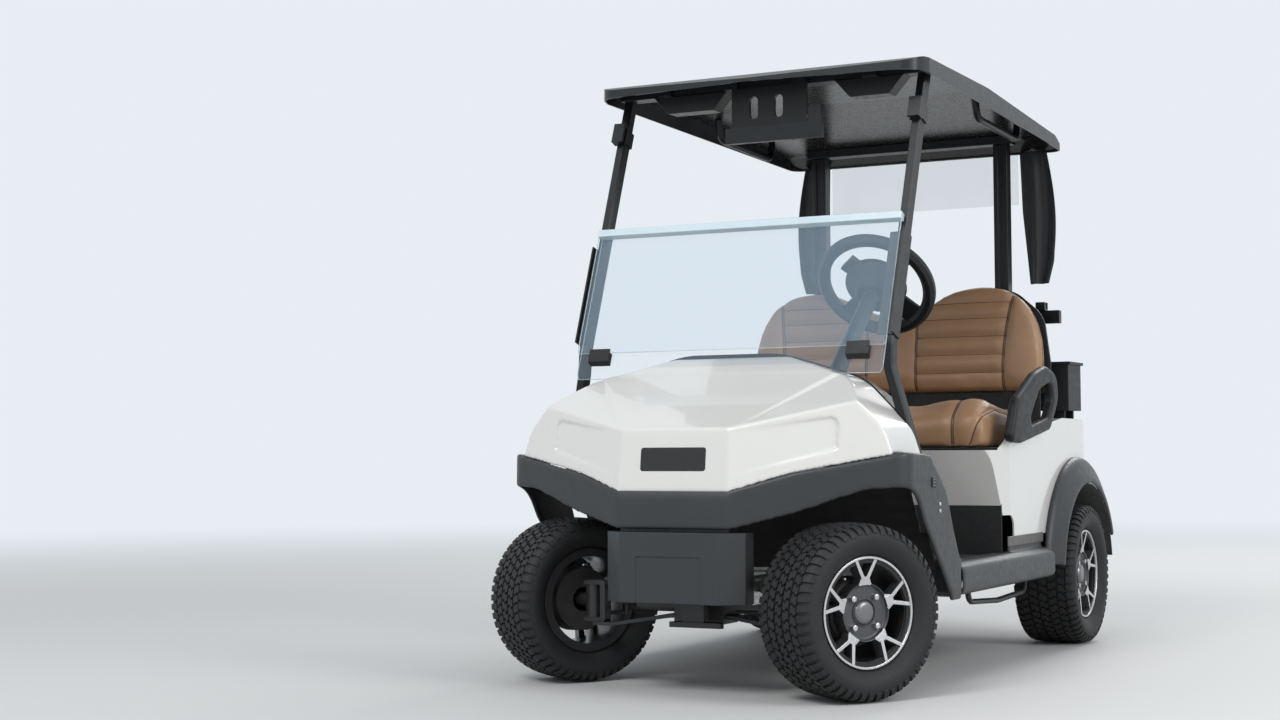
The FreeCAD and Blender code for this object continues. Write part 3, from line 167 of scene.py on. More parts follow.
def leather():
    """Tan upholstery with a pebbled grain and soft creases."""
    material, tree, shader = new_material("tan_leather")
    patches = noise_value(tree, 9.0, 5.0)
    link(colour_mix(tree, patches, (0.335, 0.185, 0.096), (0.45, 0.268, 0.152)),
                   shader.inputs["Base Color"])
    link(spread(tree, noise_value(tree, 60.0), 0.34, 0.5), shader.inputs["Roughness"])
    pebble = bump(tree, cell_value(tree, 620.0), 0.22, 0.0005)
    crease = bump(tree, noise_value(tree, 35.0, 6.0, 0.6, (1, 1, 0.35)), 0.25, 0.0022, pebble)
    link(crease, shader.inputs["Normal"])
    set_inputs(shader, {"Coat Weight": 0.12, "Coat Roughness": 0.32})
    return material


def acrylic(name, colour, alpha, roughness=0.02):
    """Clear sheet: a faint tint that lets most of what is behind it through."""
    material, tree, shader = new_material(name)
    smear = noise_value(tree, 5.0, 2.0)
    link(spread(tree, smear, roughness * 0.6, roughness * 2.2), shader.inputs["Roughness"])
    set_inputs(shader, {"Base Color": (*colour, 1), "Alpha": alpha, "IOR": 1.49, "Coat Weight": 1.0,
                        "Coat Roughness": 0.01})
    material.surface_render_method = "BLENDED"
    return material


def brushed(name, colour, roughness, stretch):
    """Bare metal with fine lines along one axis."""
    material, tree, shader = new_material(name)
    lines = noise_value(tree, 900.0, 3.0, 0.5, stretch)
    link(spread(tree, lines, roughness * 0.7, roughness * 1.4), shader.inputs["Roughness"])
    link(colour_mix(tree, noise_value(tree, 12.0), tuple(c * 0.85 for c in colour), colour),
                   shader.inputs["Base Color"])
    link(bump(tree, lines, 0.08, 0.0003), shader.inputs["Normal"])
    set_inputs(shader, {"Metallic": 1.0})
    return material


def woven(name, colour, thread):
    """Coated cloth: a fine weave under a dull coat."""
    material, tree, shader = new_material(name)
    waves = []
    for direction in ("X", "Z"):
        wave = put(tree, "ShaderNodeTexWave", bands_direction=direction, scale=thread)
        set_inputs(wave, {"Distortion": 0.6})
        link(place_coords(tree), wave.inputs["Vector"])
        waves.append(wave.outputs["Fac"])
    weave = put(tree, "ShaderNodeMath", operation="MULTIPLY")
    link(waves[0], weave.inputs[0])
    link(waves[1], weave.inputs[1])
    low = tuple(c * 0.7 for c in colour)
    link(colour_mix(tree, noise_value(tree, 14.0), low, colour), shader.inputs["Base Color"])
    soft = bump(tree, noise_value(tree, 22.0, 5.0), 0.3, 0.004)
    link(bump(tree, weave.outputs[0], 0.35, 0.0006, soft), shader.inputs["Normal"])
    set_inputs(shader, {"Roughness": 0.62, "Sheen Weight": 0.25})
    return material


def ribbed_mat():
    """Rubber floor mat with ribs across the cart."""
    material, tree, shader = new_material("ribbed_mat")
    ribs = put(tree, "ShaderNodeTexWave", bands_direction="Y", scale=12.0)
    link(place_coords(tree), ribs.inputs["Vector"])
    link(bump(tree, ribs.outputs["Fac"], 0.6, 0.003), shader.inputs["Normal"])
    link(colour_mix(tree, noise_value(tree, 20.0), (0.016, 0.016, 0.016), (0.035, 0.034, 0.032)),
                   shader.inputs["Base Color"])
    set_inputs(shader, {"Roughness": 0.75})
    return material


look = {
    "white": finish("white_paint", (0.79, 0.78, 0.745), 0.22, vary=0.02, coat=1.0, coat_roughness=0.03,
                    grain=(700.0, 0.03, 0.0004)),
    "charcoal": finish("charcoal_moulding", (0.031, 0.0345, 0.0375), 0.44, grain=(1500.0, 0.1, 0.0002)),
    "black_plastic": finish("black_plastic", (0.012, 0.013, 0.0145), 0.48, specular=0.32,
                            grain=(1300.0, 0.1, 0.0002)),
    "black_coat": finish("black_coat", (0.0085, 0.0105, 0.0125), 0.36, specular=0.35,
                         grain=(900.0, 0.05, 0.0003)),
    "black_steel": finish("black_steel", (0.024, 0.024, 0.025), 0.42, vary=0.3, patch=18.0,
                          grain=(500.0, 0.12, 0.0004)),
    "roof_top": finish("roof_top", (0.014, 0.018, 0.021), 0.36, specular=0.4, grain=(1100.0, 0.08, 0.0003)),
    # Roof underside: darker than the top as painted shade, with a warm tint as a painted reflection
    "roof_underside_painted_shade": finish("roof_underside_painted_shade", (0.01, 0.0095, 0.009), 0.26, specular=0.3),
    "alloy": brushed("mill_alloy", (0.72, 0.72, 0.71), 0.34, (1, 0.04, 1)),
    "zinc": finish("zinc_plate", (0.55, 0.56, 0.57), 0.36, vary=0.2, patch=40.0, metallic=1.0),
    "rubber": finish("tyre_rubber", (0.017, 0.017, 0.018), 0.62, vary=0.2, patch=25.0,
                     grain=(420.0, 0.12, 0.0004), specular=0.4),
    "machined": finish("machined_alloy", (0.62, 0.62, 0.63), 0.27, vary=0.05, metallic=1.0, coat=0.3),
    "pocket": finish("pocket_paint", (0.075, 0.077, 0.083), 0.36, metallic=0.5, coat=0.4),
    "barrel": finish("barrel_paint", (0.032, 0.032, 0.034), 0.34, metallic=0.4, coat=0.3),
    "cap": finish("cap_paint", (0.2, 0.2, 0.21), 0.32, vary=0.05, metallic=0.8, coat=0.4),
    "liner": finish("liner_black", (0.01, 0.01, 0.0105), 0.7),
    "cast": finish("cast_iron", (0.05, 0.048, 0.046), 0.62, vary=0.3, patch=30.0, metallic=0.4,
                   grain=(260.0, 0.5, 0.0008)),
    "bronze_strip": finish("bronze_strip", (0.105, 0.096, 0.088), 0.38, metallic=0.3),
    "gloss_black": finish("gloss_black", (0.006, 0.006, 0.0065), 0.22, coat=0.3),
    "gold": brushed("gold_rim", (0.72, 0.58, 0.36), 0.22, (0.05, 1, 1)),
    "piping": finish("dark_piping", (0.075, 0.033, 0.016), 0.45, patch=40.0),
    "leather": leather(),
    "pane": acrylic("clear_pane", (0.5, 0.68, 0.84), 0.085),
    # Pane edges: pale and nearly opaque, a painted highlight for the light carried along the sheet, over the
    # sheet's own blue tint
    "pane_edge_painted_highlight": acrylic("pane_edge_painted_highlight", (0.74, 0.88, 0.94), 0.85, 0.15),
    "window_sheet": acrylic("window_sheet", (0.55, 0.62, 0.66), 0.24, 0.08),
    "cloth": woven("cover_cloth", (0.021, 0.022, 0.025), 520.0),
    "mat": ribbed_mat(),
}

node_looks = {
    "white": ("front_cowl", "rear_body"),
    "charcoal": ("front_fenders", "rockers", "front_fascia", "rear_flares"),
    "black_plastic": ("cowl_trim", "dashboard", "bag_well", "hip_restraints", "accessory_box",
                      "seat_back_shell", "seat_pan", "steering_wheel", "battery_pack"),
    "black_coat": ("front_struts", "rear_struts", "bag_rack", "roof_frame", "overhead_display"),
    "black_steel": ("front_leaf_spring", "front_suspension", "knuckle_left", "knuckle_right", "tie_rod",
                    "rear_axle", "rear_suspension", "steering_column", "pedals"),
    "roof_top": ("roof",),
    "alloy": ("chassis_frame",),
    "pane_edge_painted_highlight": ("windshield_hinge",),
    "mat": ("floor_pan",),
    "cast": ("drive_motor",),
    "pane": ("windshield_lower", "windshield_upper"),
}

# Rounding of each node's edges in the render; the rest get the usual one
usual_edge = 0.0022
weld_distance = 0.00002
flat_angle = math.radians(0.6)
node_edges = {
    "front_cowl": 0.014, "rear_body": 0.014, "front_fascia": 0.011, "roof": 0.014, "steering_wheel": 0.006,
    "windshield_lower": 0.0008, "windshield_upper": 0.0008, "knuckle_left": 0.0012, "knuckle_right": 0.0012,
    "tie_rod": 0.0012, "front_struts": 0.002, "dashboard": 0.005, "front_suspension": 0.0012,
}


def modify(thing, kind, **settings):
    """Adds a modifier with some of its settings."""
    modifier = thing.modifiers.new(kind.lower(), kind)
    for name, value in settings.items():
        setattr(modifier, name, value)


def soften(thing, width, segments=3, angle=28):
    """Rounds the edges of a hard piece and evens its shading."""
    modify(thing, "WELD", merge_threshold=weld_distance)
    modify(thing, "DECIMATE", decimate_type="DISSOLVE", angle_limit=flat_angle)
    modify(thing, "BEVEL", width=width, segments=segments, limit_method="ANGLE",
           angle_limit=math.radians(angle), harden_normals=False, use_clamp_overlap=True)
    modify(thing, "WEIGHTED_NORMAL", keep_sharp=False, weight=80)


def dress_nodes():
    for name, members in node_looks.items():
        for node in members:
            thing = nodes[node]
            thing.data.materials.clear()
            thing.data.materials.append(look[name])
            soften(thing, node_edges.get(node, usual_edge))


def face_looks(node, names, choose):
    """Gives each face of a node one of several looks; choose(normal, centre) says which."""
    mesh = nodes[node].data
    mesh.materials.clear()
    for name in names:
        mesh.materials.append(look[name])
    for face in mesh.polygons:
        face.material_index = choose(face.normal, face.center)


# Steel members of the frame lie below and ahead of its alloy rails
rail_foot_z = 0.232
rail_front_y = -0.985


def dress_parts():
    face_looks("chassis_frame", ("alloy", "black_steel"),
               lambda normal, centre: int(centre.z < rail_foot_z or centre.y < rail_front_y))
    # Faces that look down take the underside's painted shade
    face_looks("roof", ("roof_top", "roof_underside_painted_shade"), lambda normal, centre: int(normal.z < -0.3))
    for node in ("windshield_lower", "windshield_upper"):
        mesh = nodes[node].data
        broad = max(mesh.polygons, key=lambda face: face.area).normal.copy()
        # Faces across the sheet's thickness take the pale edge look, a painted highlight
        face_looks(node, ("pane", "pane_edge_painted_highlight"), lambda normal, centre: int(abs(normal.dot(broad)) < 0.7))


# Mesh helpers

def mesh_piece(name, vertices, faces, material, slot, body="cart", smooth=True):
    mesh = bpy.data.meshes.new(name)
    mesh.from_pydata([tuple(v) for v in vertices], [], faces)
    mesh.update()
    return piece_of(name, mesh, material, body, smooth)


def piece_of(name, mesh, material, body="cart", smooth=True):
    """Links a mesh as a piece that rides on a body."""
    thing = bpy.data.objects.new(name, mesh)
    bpy.context.scene.collection.objects.link(thing)
    for face in mesh.polygons:
        face.use_smooth = smooth
    for each in material if isinstance(material, (list, tuple)) else [material]:
        mesh.materials.append(look[each])
    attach(thing, body)
    return thing


def evaluated_mesh(thing):
    graph = bpy.context.evaluated_depsgraph_get()
    return bpy.data.meshes.new_from_object(thing.evaluated_get(graph))


def applied(thing):
    """Turns a piece's modifiers into its mesh, shaded smooth."""
    mesh = evaluated_mesh(thing)
    thing.modifiers.clear()
    thing.data = mesh
    for face in mesh.polygons:
        face.use_smooth = True


arc_pieces = 7


def rounded_outline(corners):
    """Points round a closed outline of (a, b, radius) corners, with an arc at each corner."""
    points = []
    count = len(corners)
    for index, (a, b, radius) in enumerate(corners):
        here = Vector((a, b))
        before = (Vector(corners[index - 1][:2]) - here).normalized()
        after = (Vector(corners[(index + 1) % count][:2]) - here).normalized()
        half = before.angle(after) / 2
        centre = here + (before + after).normalized() * radius / math.sin(half)
        start = here + before * radius / math.tan(half) - centre
        turn = start.angle_signed(here + after * radius / math.tan(half) - centre)
        for part in range(arc_pieces + 1):
            arc = start.copy()
            arc.rotate(Matrix.Rotation(-turn * part / arc_pieces, 2))
            points.append(centre + arc)
    return points


def grid_faces(rows, columns):
    """Faces of a sheet of points laid out row by row."""
    starts = [row * (columns + 1) + column for row in range(rows) for column in range(columns)]
    return [(a, a + 1, a + columns + 2, a + columns + 1) for a in starts]


def ring_faces(rings, count, closed=False, flip=False):
    """Faces between rings of so many points: the last ring meets the first, or the ends are shut."""
    faces = []
    for ring in range(rings if closed else rings - 1):
        for side in range(count):
            a = ring * count + side
            b = ring * count + (side + 1) % count
            c = (ring + 1) % rings * count + (side + 1) % count
            d = (ring + 1) % rings * count + side
            faces.append((a, d, c, b) if flip else (a, b, c, d))
    if not closed:
        low, high = tuple(range(count)), tuple(range((rings - 1) * count, rings * count))
        faces += [low, high[::-1]] if flip else [low[::-1], high]
    return faces


def tube_mesh(path, radius, count_round, closed=False):
    """A round bar along points; it runs in a ring or its ends are closed."""
    vertices = []
    count = len(path)
    previous = None
    for index, point in enumerate(path):
        ahead = path[(index + 1) % count] if closed or index < count - 1 else point
        behind = path[index - 1] if closed or index > 0 else point
        along = (ahead - behind).normalized()
        if previous is None:
            previous = along.orthogonal().normalized()
        across = (previous - along * previous.dot(along)).normalized()
        previous = across
        other = along.cross(across)
        for side in range(count_round):
            angle = tau * side / count_round
            vertices.append(point + (across * math.cos(angle) + other * math.sin(angle)) * radius)
    return vertices, ring_faces(count, count_round, closed)


def joined(parts):
    """Several (vertices, faces) lists as one."""
    vertices = []
    faces = []
    for some, their in parts:
        start = len(vertices)
        vertices += list(some)
        faces += [tuple(index + start for index in face) for face in their]
    return vertices, faces


def lathe(profile, count_round):
    """Turns an outline of (distance along X, radius) about the X axis."""
    vertices = []
    for side in range(count_round):
        angle = tau * side / count_round
        for x, radius in profile:
            vertices.append(Vector((x, radius * math.sin(angle), radius * math.cos(angle))))
    return vertices, ring_faces(count_round, len(profile), closed=True, flip=True)


def wheel_matrix(spin):
    """From a wheel drawn about X at the origin to its place at rest."""
    joint = joints[spin]
    axis = Vector(joint["axis"]).normalized()
    if axis.x * joint["pos_m"][0] < 0:
        axis = -axis
    turn = Matrix.Rotation(math.atan2(axis.y, axis.x), 4, "Z")
    return Matrix.Translation(joint["pos_m"]) @ turn


# Thick mouldings with soft edges: slot, size of the cells they are remade from, rounds of smoothing

moulded = {
    "front_cowl": ("white_body", 0.003, 20),
    "front_fenders": ("charcoal_moulding", 0.0036, 20),
    "rockers": ("charcoal_moulding", 0.005, 16),
    "rear_flares": ("charcoal_moulding", 0.0045, 12),
    "hip_restraints": ("black_plastic", 0.005, 12),
}
regrowth = 0.002              # what smoothing takes off and the piece gets back
kept_faces = 0.3


def moulded_bodies():
    for node, (slot, cell, rounds) in moulded.items():
        thing = piece_of("soft_" + node, nodes[node].data.copy(), [])
        modify(thing, "WELD", merge_threshold=weld_distance)
        modify(thing, "REMESH", mode="VOXEL", voxel_size=cell)
        modify(thing, "SMOOTH", factor=0.5, iterations=rounds)
        modify(thing, "DISPLACE", strength=regrowth, mid_level=0)
        modify(thing, "DECIMATE", ratio=kept_faces)
        applied(thing)
        for face in thing.data.polygons:
            face.material_index = 0
        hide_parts(node)


# Tyres

tread_pitches = 54
tread_radius = 0.2292
carcass_radius = 0.2222
bead_half = 0.0762
block_draft = 0.93            # a block's top as a share of its foot
lug_taper = 0.06
# Shares of a pitch: a block's length on even and odd pitches, a lug's length, its place on each side
block_shares = (0.8, 0.74)
lug_share = 0.66
lug_places = {1: 0.25, -1: 0.75}
long_lug = 0.004              # how much further a lug on an odd pitch reaches

# One side of the carcass as (distance from the middle, radius), from bead to crown
side_profile = (
    (bead_half, 0.1275), (bead_half, 0.1462), (0.08, 0.15), (0.0825, 0.1506), (0.085, 0.153),
    (0.0945, 0.164), (0.1, 0.176), (0.1018, 0.1875), (0.1012, 0.197), (0.099, 0.2045),
    (0.095, 0.2115), (0.088, 0.218), (0.076, 0.2208), (0.05, carcass_radius),
    (0.0, carcass_radius + 0.0006),
)

# Tread columns: middle of the block, half width, share of a pitch it is shifted by, skew of its edges
tread_columns = (
    (0.0, 0.0135, 0.0, 0.006), (0.0315, 0.013, 0.5, -0.005), (-0.0315, 0.013, 0.5, 0.005),
    (0.061, 0.012, 0.1, 0.004), (-0.061, 0.012, 0.1, -0.004),
)


def on_tread(x, along, radius):
    """The point at a distance along the tread's circumference."""
    angle = along / tread_radius
    return Vector((x, radius * math.sin(angle), radius * math.cos(angle)))


def crown_radius(x):
    return tread_radius - 0.0022 * (x / 0.07) ** 2


def tread_block(x, half, along, length, skew):
    """A raised block with zigzag ends and drafted sides."""
    ends = ((-1, 0.0), (-0.35, skew), (0.35, -skew), (1, 0.0))
    outline = [(x + a * half, along - length / 2 + shift) for a, shift in ends]
    outline += [(x + a * half, along + length / 2 + shift) for a, shift in reversed(ends)]
    middle = Vector((x, along))
    vertices = []
    for u, v in outline:
        vertices.append(on_tread(u, v, carcass_radius - 0.003))
    for u, v in outline:
        point = middle + (Vector((u, v)) - middle) * block_draft
        vertices.append(on_tread(point.x, point.y, crown_radius(point.x)))
    count = len(outline)
    faces = [(i, i + count, (i + 1) % count + count, (i + 1) % count) for i in range(count)]
    top = [tuple(count + i for i in quad) for quad in ((0, 7, 6, 1), (1, 6, 5, 2), (2, 5, 4, 3))]
    return vertices, faces + top


def shoulder_lug(side, along, length, reach):
    """A lug from the outer tread down over the shoulder."""
    run = ((0.0765, crown_radius(0.0765)), (0.0905, 0.2235), (0.099, 0.215), (0.1021, 0.206 - reach))
    vertices = []
    for index, (x, radius) in enumerate(run):
        wide = length * (1 - lug_taper * index)
        for sign in (-1, 1):
            place = along + sign * wide / 2 + index * 0.0012
            vertices.append(on_tread(side * x, place, radius))
            vertices.append(on_tread(side * (x - 0.008), place, radius - 0.008))
    faces = []
    for index in range(len(run) - 1):
        a = index * 4
        b = a + 4
        faces += [(a, a + 2, b + 2, b), (a + 1, a, b, b + 1), (a + 2, a + 3, b + 3, b + 2)]
    last = (len(run) - 1) * 4
    faces += [(0, 1, 3, 2), (last, last + 2, last + 3, last + 1)]
    if side < 0:
        faces = [tuple(reversed(face)) for face in faces]
    return vertices, faces


def tyre_parts():
    profile = list(side_profile) + [(-x, radius) for x, radius in reversed(side_profile[:-1])]
    parts = [lathe(profile, 120)]
    pitch = tau * tread_radius / tread_pitches
    for index in range(tread_pitches):
        for x, half, share, skew in tread_columns:
            length = pitch * block_shares[index % 2]
            parts.append(tread_block(x, half, (index + share) * pitch, length, skew))
        for side, place in lug_places.items():
            parts.append(shoulder_lug(side, (index + place) * pitch, pitch * lug_share, long_lug * (index % 2)))
    return joined(parts)


def tyres():
    vertices, faces = tyre_parts()
    for end in wheel_ends:
        place = wheel_matrix("spin_" + end)
        tyre = mesh_piece("tread_" + end, [place @ v for v in vertices], faces, "rubber", "tyre",
                          "wheel_" + end)
        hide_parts("tyre_" + end)
        modify(tyre, "EDGE_SPLIT", split_angle=math.radians(38))


# Wheels: forked spokes with machined faces, painted pockets and a dark barrel

spoke_count = 5
nut_count = 4
nut_circle = 0.052
barrel_half = 0.082
valve_circle = 0.117
first_spoke = 92              # degrees
# Bars of a spoke, the later ones in pairs: ends as (radius, degrees off the spoke's middle), half widths,
# heights of the top, depth and flare
spoke_bars = (
    ((0.07, 0), (0.0925, 0), (0.015, 0.0105), (0.0712, 0.0742), 0.026, 0.004),
    ((0.085, 3.6), (0.1392, 13.2), (0.0052, 0.0046), (0.0733, 0.0795), 0.03, 0.0045),
    ((0.0715, 14), (0.0925, 5), (0.004, 0.004), (0.0708, 0.0735), 0.024, 0.0055),
)
rim_looks = ["machined", "pocket", "barrel", "cap", "cast", "zinc"]
machined, pocket, barrel, cap, cast, zinc = range(len(rim_looks))


def spoke_bar(start, end, halves, tops, depth, flare):
    """A bar across the wheel's face from one (y, z) to another, with a narrower machined top."""
    start = Vector(start)
    end = Vector(end)
    across = (end - start).orthogonal().normalized()
    vertices = []
    for extra, lower in ((0.0, 0.0), (flare, depth)):
        for point, half, top in ((start, halves[0], tops[0]), (end, halves[1], tops[1])):
            for sign in (1, -1):
                place = point + across * sign * (half + extra)
                vertices.append(Vector((top - lower, place.x, place.y)))
    faces = [(0, 1, 3, 2), (0, 4, 5, 1), (1, 5, 7, 3), (3, 7, 6, 2), (2, 6, 4, 0), (4, 6, 7, 5)]
    return vertices, faces, (machined,) + (pocket,) * 5


def turned(profile, count_round, index):
    vertices, faces = lathe(profile, count_round)
    return vertices, faces, (index,) * len(faces)


def on_face(radius, degrees):
    angle = math.radians(degrees)
    return radius * math.cos(angle), radius * math.sin(angle)


def rim_parts():
    """Parts of a wheel as (vertices, faces, look of each face)."""
    # Barrel, lip, hub, centre cap, its ring and the brake drum
    parts = [
        turned([(-barrel_half, 0.122), (-barrel_half, 0.1445), (-0.0755, 0.1445), (-0.0755, 0.1275),
                (0.0755, 0.1275), (0.0755, 0.138), (0.07, 0.1265), (0.0, 0.1215),
                (-0.06, 0.1215)], 64, barrel),
        turned([(0.074, 0.1365), (0.079, 0.1372), (barrel_half, 0.1386), (barrel_half, 0.144),
                (0.0806, 0.1448), (0.0755, 0.1448)], 96, machined),
        turned([(0.034, 0.0), (0.06, 0.0), (0.06, 0.0655), (0.0625, 0.069), (0.07, 0.0722),
                (0.0712, 0.0735), (0.0705, 0.075), (0.052, 0.0785), (0.034, 0.0785)], 64, pocket),
        turned([(0.059, 0.0), (0.0715, 0.0), (0.0708, 0.018), (0.069, 0.025), (0.0655, 0.0295),
                (0.06, 0.0325), (0.059, 0.0325)], 48, cap),
        turned([(0.059, 0.033), (0.0632, 0.0335), (0.064, 0.035), (0.0632, 0.0368),
                (0.059, 0.0375)], 48, pocket),
        turned([(-0.045, 0.034), (-0.045, 0.088), (0.02, 0.092), (0.032, 0.086), (0.034, 0.034)], 48, cast),
    ]
    for index in range(spoke_count):
        turn = index * 360 / spoke_count + first_spoke
        for start, end, *shape in spoke_bars:
            for side in (-1, 1) if start[1] else (0,):
                parts.append(spoke_bar(on_face(start[0], turn + side * start[1]),
                                       on_face(end[0], turn + side * end[1]), *shape))
    for index in range(nut_count):
        y, z = on_face(nut_circle, index * 360 / nut_count + 47)
        for profile, count_round, name in (
            ([(0.059, 0.011), (0.0606, 0.0112), (0.0606, 0.0142), (0.059, 0.0145)], 20, pocket),
            ([(0.059, 0.0), (0.0715, 0.0), (0.0728, 0.004), (0.0712, 0.0086), (0.059, 0.0092)], 6, zinc),
        ):
            vertices, faces, names = turned(profile, count_round, name)
            parts.append(([v + Vector((0, y, z)) for v in vertices], faces, names))
    # The valve's stem and its cap, which lean in a little, between two spokes
    y, z = on_face(valve_circle, first_spoke + 180 / spoke_count)
    foot, middle, tip = (Vector((x, y * lean, z * lean))
                         for x, lean in ((0.045, 1), (0.067, 0.97), (0.074, 0.96)))
    for path, radius, name in (([foot, middle], 0.0042, cast), ([middle, tip], 0.0033, zinc)):
        vertices, faces = tube_mesh(path, radius, 10)
        parts.append((vertices, faces, (name,) * len(faces)))
    return parts


def rims():
    parts = rim_parts()
    vertices, faces = joined([(some, their) for some, their, _ in parts])
    indices = [index for _, _, names in parts for index in names]
    for end in wheel_ends:
        place = wheel_matrix("spin_" + end)
        rim = mesh_piece("wheel_face_" + end, [place @ v for v in vertices], faces, rim_looks,
                         "wheel_alloy", "wheel_" + end)
        for face, index in zip(rim.data.polygons, indices):
            face.material_index = index
        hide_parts("rim_" + end)
        soften(rim, 0.0009, 2, 30)


# Padded seat

pad_cell = 0.0125
pad_pressure = 4.0
pad_reach = 0.012             # how far a point of a pad may move
cloth_stiffness = 18
cloth_frames = 20


def inflated(thing):
    """Swells a closed form as stuffed fabric does."""
    modify(thing, "REMESH", mode="VOXEL", voxel_size=pad_cell)
    applied(thing)
    swell(thing)
    modify(thing, "SUBSURF", levels=1)
    applied(thing)


def swell(thing):
    """Blows a form up as cloth under pressure, from frame 1, and takes over where its points went."""
    before = [vertex.co.copy() for vertex in thing.data.vertices]
    settings = thing.modifiers.new("cloth", "CLOTH").settings
    settings.use_pressure = True
    settings.uniform_pressure_force = pad_pressure
    settings.effector_weights.gravity = 0
    settings.tension_stiffness = cloth_stiffness
    settings.compression_stiffness = cloth_stiffness
    for number in range(1, cloth_frames + 1):
        bpy.context.scene.frame_set(number)
    after = evaluated_mesh(thing)
    thing.modifiers.clear()
    bpy.context.scene.frame_set(1)
    places = []
    for start, moved in zip(before, after.vertices):
        shift = moved.co - start
        if shift.length > pad_reach:
            shift = shift.normalized() * pad_reach
        places.append(start + shift)
    move_points(thing, places)
    bpy.data.meshes.remove(after)


def move_points(thing, places):
    thing.data.vertices.foreach_set("co", [number for place in places for number in place])
    thing.data.update()


def sunk(gap, profile):
    """Depth at a distance from a seam; the profile has the (depth, width) of each dip that it adds up."""
    return sum(depth * math.exp(-(gap / width) ** 2) for depth, width in profile)


def pulled(thing, depth_at):
    """Draws a surface in along its normals by a depth that depends on the place."""
    move_points(thing, [vertex.co - vertex.normal * depth_at(vertex.co) for vertex in thing.data.vertices])


def solid_between(rings):
    """A closed form through rings of points, with flat ends."""
    return [point for ring in rings for point in ring], ring_faces(len(rings), len(rings[0]), flip=True)


def on_surface(tree, points, direction, lift=0.0):
    """Points dropped along a direction onto a surface."""
    found = []
    for point in points:
        hit, normal, _, _ = tree.ray_cast(point - direction * 0.3, direction)
        if hit is not None:
            found.append(hit + normal * lift)
    return found


def surface_tree(thing):
    return BVHTree.FromObject(thing, bpy.context.evaluated_depsgraph_get())


def piping(name, path, radius, closed=False):
    vertices, faces = tube_mesh(path, radius, 8, closed)
    mesh_piece(name, vertices, faces, "piping", "seat_leather")


# Bench cushion, drawn as sections from side to side

seam_shift = 0.0032           # from a double seam's middle to each of its pipings
cushion_seam = ((0.005, 0.02), (0.003, 0.0045))
bolster_x = 0.27              # where the raised sides begin
bolster_height = 0.02
dish_depth = 0.012
dish_y = 0.22
dish_reach = 0.18
cushion_steps = 28            # sections to each side of the middle
side_gap = 0.011              # from the outermost section to the CAD solid's side
side_rounding = 0.049         # width over which the sections shrink
side_drop = 0.04
pad_inset = 0.01
seam_points = 61
cushion_low, cushion_high = (Vector(corner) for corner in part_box("seat_cushion"))
cushion_half = cushion_high.x
inner_seam_x = cushion_half - 0.134


def clamped(value, low=0.0, high=1.0):
    return max(low, min(high, value))


def outer_seam_x(half, z):
    """The side panel's seam on a bench of this half width, which runs inwards down the front."""
    return half - 0.013 - 0.045 * clamped((cushion_high.z - 0.012 - z) / 0.12)


def seat_section(inset):
    """Side view of the bench as (y, z, radius), drawn inside the CAD solid by the inset."""
    front = cushion_low.y + 0.006 + inset
    rear = cushion_high.y - inset
    low = cushion_low.z + 0.001
    return [
        (front + 0.004, low, 0.012), (front - 0.006, low + 0.092 - inset, 0.05),
        (front + 0.095, low + 0.134 - inset, 0.085), (rear - 0.17, low + 0.108 - inset, 0.2),
        (rear, low + 0.104 - inset, 0.04), (rear, low, 0.012),
    ]


def seat_shift(x, y):
    """Height of the bench over its plain section: raised bolsters at the sides and a dished middle."""
    side = max(0.0, abs(x) - bolster_x) / (cushion_half - bolster_x)
    bolster = bolster_height * math.sin(min(1.0, side * 1.15) * math.pi / 1.5)
    return bolster - dish_depth * math.exp(-((y - dish_y) / dish_reach) ** 2) * (1 - side)


def cushion_pull(place, half):
    """Depth of the seams over the bench's top and front."""
    if place.z < cushion_low.z + 0.012:
        return 0.0
    return sum(sunk(abs(place.x) - line, cushion_seam) for line in (inner_seam_x, outer_seam_x(half, place.z)))


def seat_cushion():
    rings = []
    for step in range(-cushion_steps, cushion_steps + 1):
        x = step / cushion_steps * (cushion_half - side_gap)
        edge = clamped((abs(x) - (cushion_half - side_gap - side_rounding)) / side_rounding)
        inset = pad_inset + side_drop * (1 - math.sqrt(1 - edge ** 2))
        ring = []
        for y, z in rounded_outline(seat_section(inset)):
            share = (z - cushion_low.z) / 0.13
            ring.append(Vector((x, y, z + seat_shift(x, y) * max(0.0, share))))
        rings.append(ring)
    cushion = mesh_piece("bench_cushion", *solid_between(rings), "leather", "seat_leather")
    inflated(cushion)
    half = max(vertex.co.x for vertex in cushion.data.vertices)
    pulled(cushion, lambda place: cushion_pull(place, half))
    for vertex in cushion.data.vertices:
        vertex.co.z = max(vertex.co.z, cushion_low.z + 0.0006)
        vertex.co.x = clamped(vertex.co.x, -cushion_half, cushion_half)
    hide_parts("seat_cushion")
    tree = surface_tree(cushion)
    for side, word in sides:
        for line, label in ((lambda z: inner_seam_x - seam_shift, "inner_a"),
                            (lambda z: inner_seam_x + seam_shift, "inner_b"),
                            (lambda z: outer_seam_x(half, z), "outer")):
            path = seam_path(tree, side, line)
            piping("bench_piping_" + label + "_" + word, path, 0.0017)


def seam_path(tree, side, line):
    """A seam over the cushion's front and top; line(z) is its distance from the middle."""
    path = []
    for step in range(seam_points):
        angle = math.radians(-8 + step * 2.45)
        aim = Vector((0, -math.cos(angle), math.sin(angle)))
        start = Vector((side * line(cushion_high.z), 0.15, cushion_low.z + 0.02))
        for _ in range(3):
            place, normal, _, _ = tree.ray_cast(start + aim * 0.6, -aim)
            if place is None:
                break
            start.x = side * line(place.z)
        if place is not None:
            path.append(place + normal * 0.0002)
    return path


# Backrest, drawn upright from its foot: a across, b up, depth from the front face, then leaned

back_low = 0.815
back_front = 0.465
back_lean = math.atan(0.12)


